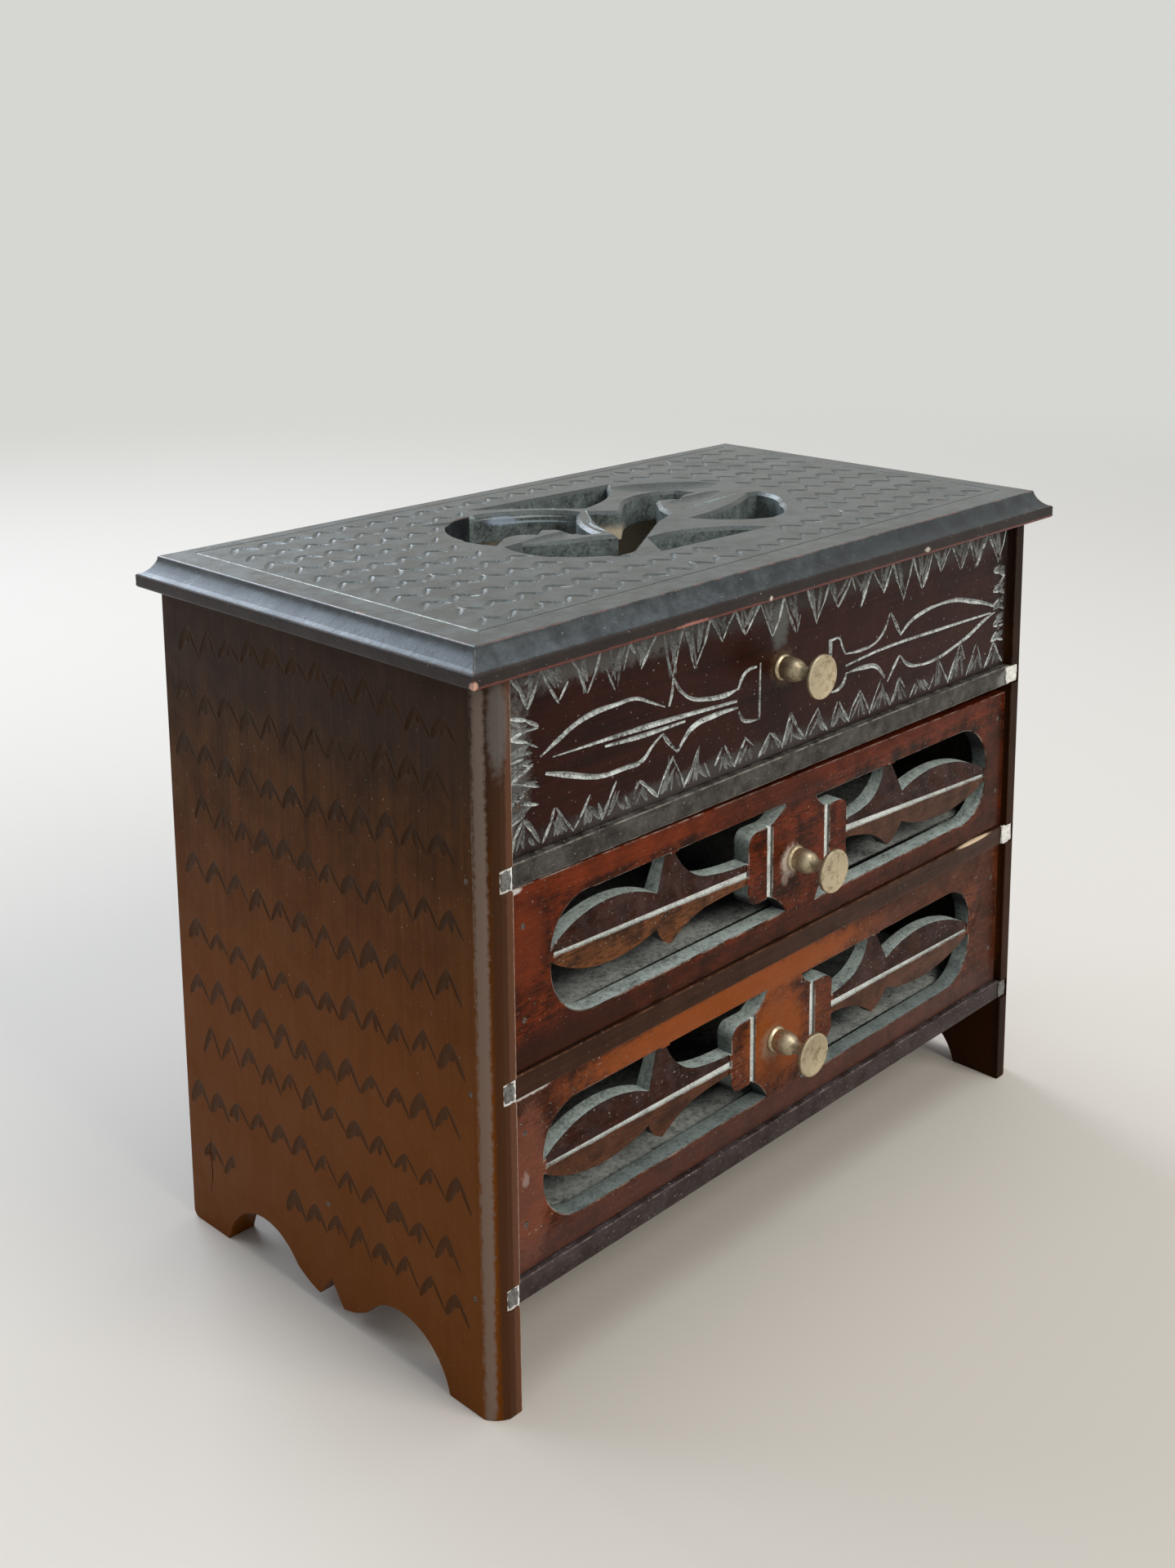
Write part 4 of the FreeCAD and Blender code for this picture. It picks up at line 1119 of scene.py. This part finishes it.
@dataclass(frozen=True)
class PuttyPad:
    """A dab of putty pressed over the end of a housing, rough and a little proud."""

    name: str
    low: Triple
    high: Triple
    finish: OldPutty
    seed: int

    def build(self) -> None:
        """Shape the dab from a divided block with its points pushed about."""
        drift = random.Random(self.seed)
        low, high = Vector(self.low), Vector(self.high)
        shape = bmesh.new()
        bmesh.ops.create_cube(shape, size=1.0)
        bmesh.ops.subdivide_edges(shape, edges=shape.edges, cuts=4, use_grid_fill=True)
        shape.transform(Matrix.Translation((low + high) / 2) @ Matrix.Diagonal((*(high - low), 1)))
        for corner in shape.verts:
            corner.co += Vector((drift.uniform(-0.5, 0.5), drift.uniform(0, 0.25),
                                 drift.uniform(-0.5, 0.5)))
        bmesh.ops.smooth_vert(shape, verts=shape.verts, factor=0.35, use_axis_x=True,
                              use_axis_y=True, use_axis_z=True)
        shape.transform(Matrix.Scale(MM, 4))
        mesh = made_mesh(shape, self.name)
        mesh.materials.append(self.finish.material())
        soften(mesh, 50)
        finish_piece(self.name, mesh, "case")


PUTTY = tuple(
    pad for level, name in ((150.2, "upper"), (92.6, "middle"), (34.4, "lower"))
    for pad in (
        PuttyPad(f"putty_rim_left_{name}", (-120.3, -64.2, level - 3.5),
                 (-115.5, -63.7, level + 3.3), WHITE_PUTTY, 3),
        PuttyPad(f"putty_left_{name}", (-119.5, -64.5, level - 2.5),
                 (-116.3, -63.7, level + 2.4), GREY_PUTTY, 4),
    )
) + (
    PuttyPad("putty_right_upper", (113.2, -64.6, 147.4), (119.6, -63.6, 153.2), WHITE_PUTTY, 5),
    PuttyPad("putty_right_middle", (114.2, -64.6, 89.4), (119.6, -63.6, 95.6), WHITE_PUTTY, 6),
    PuttyPad("putty_right_lower", (116.0, -64.4, 31.6), (119.9, -63.6, 36.8), GREY_PUTTY, 7),
)


@dataclass
class Case:
    """The standing case: sides, shelves, back, top and the putty in its housings."""

    left: CarvedSide = field(default_factory=lambda: CarvedSide("left_side", -1))
    right: CarvedSide = field(default_factory=lambda: CarvedSide("right_side", 1))
    top: CarvedTop = field(default_factory=CarvedTop)
    putty: tuple[PuttyPad, ...] = PUTTY

    def build(self) -> None:
        """Build every board of the case."""
        self.left.build()
        self.right.build()
        self.top.build()
        for name, arris, finish in (
            ("upper_shelf", 0.35, UPPER_RAIL), ("middle_shelf", 0.35, MIDDLE_RAIL),
            ("bottom_shelf", 0.35, LOWER_RAIL), ("back_panel", 0.2, BACK_WOOD),
        ):
            Board(name, arris).dress("case", Slot.EBONISED, finish)
        for pad in self.putty:
            pad.build()
        for name in ("left_side_pins", "right_side_pins", "back_pins"):
            finish_solid(name, IRON)


def finish_solid(name: str, finish: Finish) -> None:
    """Give a solid that stays as it is its finish."""
    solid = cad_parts[name]
    solid.data.materials.clear()
    solid.data.materials.append(finish.material())
    LOG.info("%s finished as %s", name, finish.name)


# ---------------------------------------------------------------- the drawers


LEFT_MOTIF = (
    ((-102.9, 178.1), (-96.6, 181.3), (-90.7, 183.5), (-84.0, 185.1), (-75.6, 185.1),
     (-68.0, 184.9), (-62.1, 182.6), (-56.6, 179.9)),
    ((-54.5, 179.4), (-53.6, 183.0), (-52.9, 187.2)),
    ((-52.9, 187.2), (-50.9, 184.0), (-48.6, 181.7), (-45.6, 179.6), (-39.3, 178.1),
     (-31.0, 177.5), (-25.5, 177.7)),
    ((-25.5, 177.7), (-24.2, 180.5), (-21.7, 182.2), (-17.0, 182.8)),
    ((-15.8, 183.4), (-15.8, 166.2)),
    ((-16.8, 166.4), (-20.4, 167.0), (-23.0, 168.3), (-25.1, 171.3)),
    ((-25.4, 172.1), (-35.2, 172.4), (-45.3, 171.5), (-48.6, 168.7), (-51.0, 165.9)),
    ((-51.0, 165.9), (-55.4, 169.9), (-57.4, 172.5)),
    ((-57.4, 172.5), (-61.3, 170.4), (-65.8, 167.2), (-72.2, 167.0), (-81.4, 167.0),
     (-87.3, 168.3), (-94.1, 170.8), (-101.1, 173.4)),
    ((-99.1, 177.0), (-62.0, 175.9), (-25.9, 174.6)),
    ((-80.0, 174.6), (-66.0, 174.2), (-48.0, 173.6)),
)
RIGHT_MOTIF = (
    ((17.4, 183.1), (17.4, 166.4)),
    ((18.0, 182.8), (21.5, 182.6), (23.5, 179.6), (24.9, 177.1)),
    ((24.9, 177.1), (32.8, 176.7), (40.4, 177.5), (44.5, 179.9), (48.0, 185.1)),
    ((48.0, 185.1), (51.3, 180.5), (54.0, 176.7)),
    ((54.0, 176.7), (58.1, 179.9), (64.7, 181.7), (74.8, 182.5), (84.9, 182.0),
     (94.2, 179.9), (101.8, 177.5), (109.0, 175.2)),
    ((18.0, 166.6), (22.0, 166.8), (24.6, 168.6), (25.3, 170.8)),
    ((25.3, 170.8), (34.4, 170.4), (41.2, 169.1), (45.5, 164.9)),
    ((47.3, 163.3), (51.3, 167.9), (53.3, 170.4)),
    ((53.3, 170.4), (58.1, 166.2), (64.7, 164.5), (74.8, 164.8), (84.9, 166.2),
     (93.4, 168.7), (101.8, 171.3), (108.6, 173.2)),
    ((24.9, 173.0), (42.9, 174.2), (74.5, 174.1), (106.0, 173.2)),
)


MIDDLE_MIDRIBS = (((-99.5, 123.5), (-24.5, 120.9)), ((103.2, 117.0), (28.5, 121.0)))
BOTTOM_MIDRIBS = (((-102.8, 64.7), (-31.0, 63.3)), ((96.3, 62.9), (23.5, 64.1)))


@dataclass
class IncisedFront:
    """The top drawer's plain front, with a leaf motif in single lines and a toothed border."""

    left: float = -113.5
    right: float = 113.8
    low: float = 155.2
    high: float = 201.0
    pitch: float = 10.8
    line_width: float = 1.35
    line_depth: float = 0.6

    def face(self) -> Face:
        """Return the drawer's front face."""
        return Face((0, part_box("top_drawer_front")[0].y / MM, 0), (1, 0, 0), (0, 0, 1))

    @staticmethod
    def between(a: Point, b: Point, share: float, stray: Point = (0.0, 0.0)) -> Point:
        """Return a point part of the way from one point to another, moved a little."""
        return a[0] + (b[0] - a[0]) * share + stray[0], a[1] + (b[1] - a[1]) * share + stray[1]

    def tooth(self, drift: random.Random, tip: Point, base: tuple[Point, Point],
              lines: list[list[Stroke]], hatching: list[list[Stroke]]) -> None:
        """Scratch one tooth of the border: broken strokes to its tip, and hatching across it.

        Args:
            drift: the border's own random draws.
            tip: the tooth's point.
            base: the two ends of the tooth's base.
            lines: four lists for the tooth's outline.
            hatching: five lists for its hatching.
        """
        def stray(reach: float) -> Point:
            """Return a small random shift."""
            return drift.uniform(-reach, reach), drift.uniform(-reach, reach)

        outline = []
        for corner in base:
            bend = self.between(corner, tip, drift.uniform(0.4, 0.6), stray(0.9))
            outline += [(self.between(corner, tip, -0.05), bend),
                        (self.between(corner, bend, 0.85), self.between(tip, tip, 0, stray(0.5)))]
        for group, (start, end) in zip(lines, outline):
            if drift.random() < 0.8:
                width = drift.uniform(0.55, 1.3)
                group.append(Stroke(start, end, width, 0.3 + 0.25 * width))
        middle = self.between(base[0], base[1], 0.5)
        for group in hatching:
            top = self.between(base[0], base[1], drift.uniform(0.05, 0.95))
            low = self.between(tip, middle, drift.uniform(0.05, 0.6), stray(1.6))
            width = drift.uniform(0.7, 1.5)
            group.append(Stroke(top, low, width, 0.25 + 0.15 * width))

    def border(self) -> tuple[list[list[Stroke]], list[list[Stroke]]]:
        """Lay out the teeth's outlines and hatching, in lists that don't overlap."""
        drift = random.Random(5)
        lines: list[list[Stroke]] = [[] for _ in range(16)]
        hatching: list[list[Stroke]] = [[] for _ in range(20)]
        count = round((self.right - self.left) / self.pitch)
        step = (self.right - self.left) / count
        for index in range(count):
            start = self.left + index * step
            odd = index % 2
            for level, tips in ((self.high, (187.5, 193.5)), (self.low, (161.5, 166.5))):
                middle = start + step * drift.uniform(0.35, 0.65)
                self.tooth(drift, (middle, drift.uniform(*tips)),
                           ((start, level), (start + step, level)),
                           lines[4 * odd:4 * odd + 4], hatching[5 * odd:5 * odd + 5])
        levels = (162.5, 168.0, 173.5, 179.0, 185.0, 190.5)
        for index, (low, high) in enumerate(zip(levels, levels[1:])):
            odd = index % 2
            middle = (low + high) / 2
            for edge, tip in ((self.left, -104.0), (self.right, 107.5)):
                point = (tip + drift.uniform(-2.5, 1.5), middle + drift.uniform(-2, 2))
                self.tooth(drift, point, ((edge, low), (edge, high)),
                           lines[8 + 4 * odd:12 + 4 * odd], hatching[10 + 5 * odd:15 + 5 * odd])
        return lines, hatching

    def motif(self) -> list[list[Groove]]:
        """Return the motif's lines, each in a list of its own."""
        return [[Groove(line, self.line_width, self.line_depth,
                        1.0 if len(line) == 2 else 0.5, waver=1.0)]
                for line in LEFT_MOTIF + RIGHT_MOTIF]

    def build(self) -> None:
        """Carve and dress the front."""
        board = Board("top_drawer_front")
        lines, hatching = self.border()
        board.carve(self.face(), hatching, 2)
        board.carve(self.face(), lines + self.motif())
        board.dress("top_drawer", Slot.DARK_MAHOGANY, DARK_FRONT, INCISED, HATCHED)


@dataclass
class PiercedFront:
    """A drawer front pierced with two leaves, each shaved to a ridge along its midrib.

    The sawn walls are pale, partly dust and partly a painted cool skylight, and the groove along
    each midrib is chalky. Below each midrib the leaf takes a painted warm reflection, above it
    painted shade.
    """

    drawer: str
    finish: StainedWood
    midribs: tuple[tuple[Point, Point], ...]
    slope: float = 0.13
    beyond: float = 2.3
    below: float = 13.9
    nose: Point = (-0.8, 2.6)
    rounding: tuple[Point, ...] = ((0.6, 0.46), (4.2, 0.78), (9.5, 0.955))

    def mark_cuts(self, board: Board) -> None:
        """Give the sawn walls the first cut finish and the grooves' floors the second."""
        low, high = (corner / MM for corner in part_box(board.node))
        for facet in board.mesh.polygons:
            middle, normal = facet.center / MM, facet.normal
            within = abs(middle.x) < high.x - 2 and low.z + 2 < middle.z < high.z - 4
            if within and low.y + 0.4 < middle.y < high.y - 0.1:
                facet.material_index = 2 if normal.y < -0.9 else 1

    def shavings(self, board: Board) -> list[list[Shaving]]:
        """Lay out the slanting cuts above and below each leaf's midrib, up to the slot's edge.

        Args:
            board: the front, with its sawn walls marked.

        Returns:
            The cuts above the midribs and the cuts below them.
        """
        walls = [board.mesh.vertices[corner].co / MM for facet in board.mesh.polygons
                 if facet.material_index == 1 for corner in facet.vertices]
        groups: list[list[Shaving]] = [[], []]
        for tip, neck in self.midribs:
            ceiling = max(place.z for place in walls if place.x * tip[0] > 0) - 0.25
            inwards = math.copysign(1.0, neck[0] - tip[0])
            end = Vector(neck) + (Vector(neck) - Vector(tip)).normalized() * self.beyond
            for group, reach in zip(groups, (ceiling - tip[1], -self.below)):
                blunt = (tip[0] + inwards * self.nose[0],
                         tip[1] + math.copysign(self.nose[1], reach))
                bend = [(tip[0] + inwards * across, tip[1] + reach * share)
                        for across, share in self.rounding]
                corners = (blunt, *bend, (end.x, tip[1] + reach))
                group.append(Shaving((tip, tuple(end)), corners, self.slope))
        return groups

    def build(self) -> None:
        """Mark the cuts, shave the leaves and dress the front."""
        board = Board(self.drawer + "_front")
        self.mark_cuts(board)
        face = Face((0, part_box(board.node)[0].y / MM, 0), (1, 0, 0), (0, 0, 1))
        above, below = self.shavings(board)
        # the lower halves take the painted warm reflection, the upper halves the painted shade
        board.carve(face, [below], 3)
        board.carve(face, [above], 4)
        board.dress(self.drawer, Slot.MAHOGANY, self.finish, SAWN, CHALKY, LEAF_LOWER_PAINTED_REFLECTION, LEAF_UPPER_DUST_AND_SHADE)


@dataclass
class DiscKnob:
    """A turned brass knob: a thin disc on a waisted neck that grows from a domed collar."""

    drawer: str
    profile: tuple[Point, ...] = (
        (0.0, -14.72), (5.3, -14.72), (5.75, -14.95), (6.2, -15.0), (6.5, -14.88),
        (6.6, -14.6), (6.6, -14.0), (6.45, -13.68), (6.1, -13.55), (2.7, -13.45),
        (2.25, -13.2), (2.0, -12.6), (1.85, -10.0), (1.95, -8.0), (2.3, -7.3), (2.85, -6.6),
        (3.3, -5.6), (3.55, -4.4), (3.6, -3.2), (3.5, -2.0), (3.35, -1.2), (3.6, -0.95),
        (3.9, -0.7), (4.0, -0.3), (3.9, 0.0), (1.5, 0.0), (1.5, 5.0), (0.0, 5.0),
    )
    steps: int = 64

    def build(self) -> None:
        """Spin the profile about the knob's own axis and dress it."""
        name = self.drawer + "_knob"
        low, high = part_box(name)
        across, up = (low.x + high.x) / 2, (low.z + high.z) / 2
        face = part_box(self.drawer + "_front")[0].y
        shape = bmesh.new()
        points = [shape.verts.new((across + r * MM, face + y * MM, up)) for r, y in self.profile]
        edges = [shape.edges.new(pair) for pair in zip(points, points[1:])]
        bmesh.ops.spin(shape, geom=points + edges, cent=(across, 0, up), axis=(0, 1, 0),
                       angle=math.tau, steps=self.steps, use_merge=True)
        bmesh.ops.remove_doubles(shape, verts=shape.verts, dist=WELD * MM)
        bmesh.ops.recalc_face_normals(shape, faces=shape.faces)
        mesh = made_mesh(shape, name + "_turned")
        mesh.materials.append(BRASS.material())
        soften(mesh, 40)
        finish_piece(name + "_turned", mesh, self.drawer, name)


@dataclass
class Drawer:
    """One drawer: its dressed front, knob, nailed box and pins."""

    name: str
    front: IncisedFront | PiercedFront
    inside: Finish
    floor: Finish

    def build(self) -> None:
        """Build the drawer's pieces, all of which ride on it."""
        self.front.build()
        for part in ("left_wall", "right_wall", "back"):
            Board(f"{self.name}_{part}").dress(self.name, Slot.INSIDE, self.inside)
        Board(self.name + "_bottom", 0.9).dress(self.name, Slot.INSIDE, self.floor)
        DiscKnob(self.name).build()
        finish_solid(self.name + "_pins", IRON)


# ---------------------------------------------------------------- the studio


@dataclass(frozen=True)
class SoftLamp:
    """A softbox that looks at the chest."""

    name: str
    place: Triple
    size: float
    watts: float
    colour: str

    def build(self) -> None:
        """Hang the lamp and turn it to the chest."""
        lamp = bpy.data.lights.new(self.name, "AREA")
        lamp.shape, lamp.size, lamp.energy = "DISK", self.size, self.watts
        lamp.color = linear(self.colour)[:3]
        holder = bpy.data.objects.new(self.name, lamp)
        bpy.context.scene.collection.objects.link(holder)
        holder.location = self.place
        aim = Vector((0, 0, 0.1)) - Vector(self.place)
        holder.rotation_euler = aim.to_track_quat("-Z", "Y").to_euler()
        holder.visible_camera = False


@dataclass
class Studio:
    """A pale floor, a pale surround, soft lamps and the photograph's camera."""

    surround: str = "#d6d6d2"
    fill: float = 0.35
    camera_place: Triple = (-0.4041, -0.3790, 0.3354)
    yaw: float = 46.88
    pitch: float = 10.92
    roll: float = 0.16
    focal_pixels: float = 2220.8
    optical_centre: Point = (785.6, 578.7)
    image: Point = (1439.0, 1920.0)
    lamps: tuple[SoftLamp, ...] = (
        SoftLamp("window_rear", (0.25, 1.64, 1.19), 1.2, 24.0, "#e6f0ff"),
        SoftLamp("window_left_rear", (-0.8, 1.45, 1.08), 0.9, 8.0, "#e6f0ff"),
        SoftLamp("window_front", (0.2, -1.7, 1.3), 1.3, 24.0, "#fff8ee"),
        SoftLamp("ceiling", (0.3, -0.2, 2.0), 1.5, 12.0, "#f4f8ff"),
    )

    def build(self) -> None:
        """Set the studio up."""
        self.lay_floor()
        self.set_world()
        for lamp in self.lamps:
            lamp.build()
        self.set_camera()
        bpy.context.scene.view_settings.view_transform = "Standard"

    def lay_floor(self) -> None:
        """Lay a wide matt floor under the chest."""
        shape = bmesh.new()
        bmesh.ops.create_grid(shape, x_segments=1, y_segments=1, size=30.0)
        mesh = made_mesh(shape, "studio_floor")
        mesh.materials.append(MattPaint().material())
        link("studio_floor", mesh)

    def set_world(self) -> None:
        """Show a pale surround to the camera and to gloss, and fill the shadows softly."""
        world = bpy.data.worlds.new("surround")
        bpy.context.scene.world = world
        world.use_nodes = True
        mix = Recipe(world.node_tree)
        filled = mix.add("Background", {"Color": "#f2f4f8", "Strength": self.fill})
        shown = mix.add("Background", {"Color": self.surround, "Strength": 1.0})
        mixed = mix.add("MixShader", {0: mix.seen(), 1: filled, 2: shown})
        mix.add("OutputWorld", {"Surface": mixed})

    def set_camera(self) -> None:
        """Stand the camera where the photograph was taken from, with its framing."""
        yaw, pitch, roll = (math.radians(a) for a in (self.yaw, self.pitch, self.roll))
        ahead = Vector((math.sin(yaw) * math.cos(pitch), math.cos(yaw) * math.cos(pitch),
                        -math.sin(pitch)))
        level = Vector((math.cos(yaw), -math.sin(yaw), 0))
        plumb = ahead.cross(level)
        right = level * math.cos(roll) + plumb * math.sin(roll)
        down = plumb * math.cos(roll) - level * math.sin(roll)
        data = bpy.data.cameras.new("photograph")
        data.sensor_width = 36.0
        data.lens = 36.0 * self.focal_pixels / max(self.image)
        data.shift_x = (self.image[0] / 2 - self.optical_centre[0]) / max(self.image)
        data.shift_y = (self.optical_centre[1] - self.image[1] / 2) / max(self.image)
        data.clip_start = 0.01
        camera = bpy.data.objects.new("photograph", data)
        bpy.context.scene.collection.objects.link(camera)
        turn = Matrix((right, -down, -ahead)).transposed().to_4x4()
        camera.matrix_world = Matrix.Translation(self.camera_place) @ turn
        bpy.context.scene.camera = camera


def main() -> None:
    """Build the chest, then the studio around it."""
    logging.basicConfig(level=logging.INFO, format="%(message)s")
    Case().build()
    Drawer("top_drawer", IncisedFront(), RAW, RAW).build()
    for name, finish, midribs in (
        ("middle_drawer", MIDDLE_FRONT, MIDDLE_MIDRIBS),
        ("bottom_drawer", BOTTOM_FRONT, BOTTOM_MIDRIBS),
    ):
        Drawer(name, PiercedFront(name, finish, midribs), DUSTY_INSIDE_PAINTED_SHADE, DUSTY_FLOOR).build()
    Studio().build()


if __name__ == "__main__":
    main()
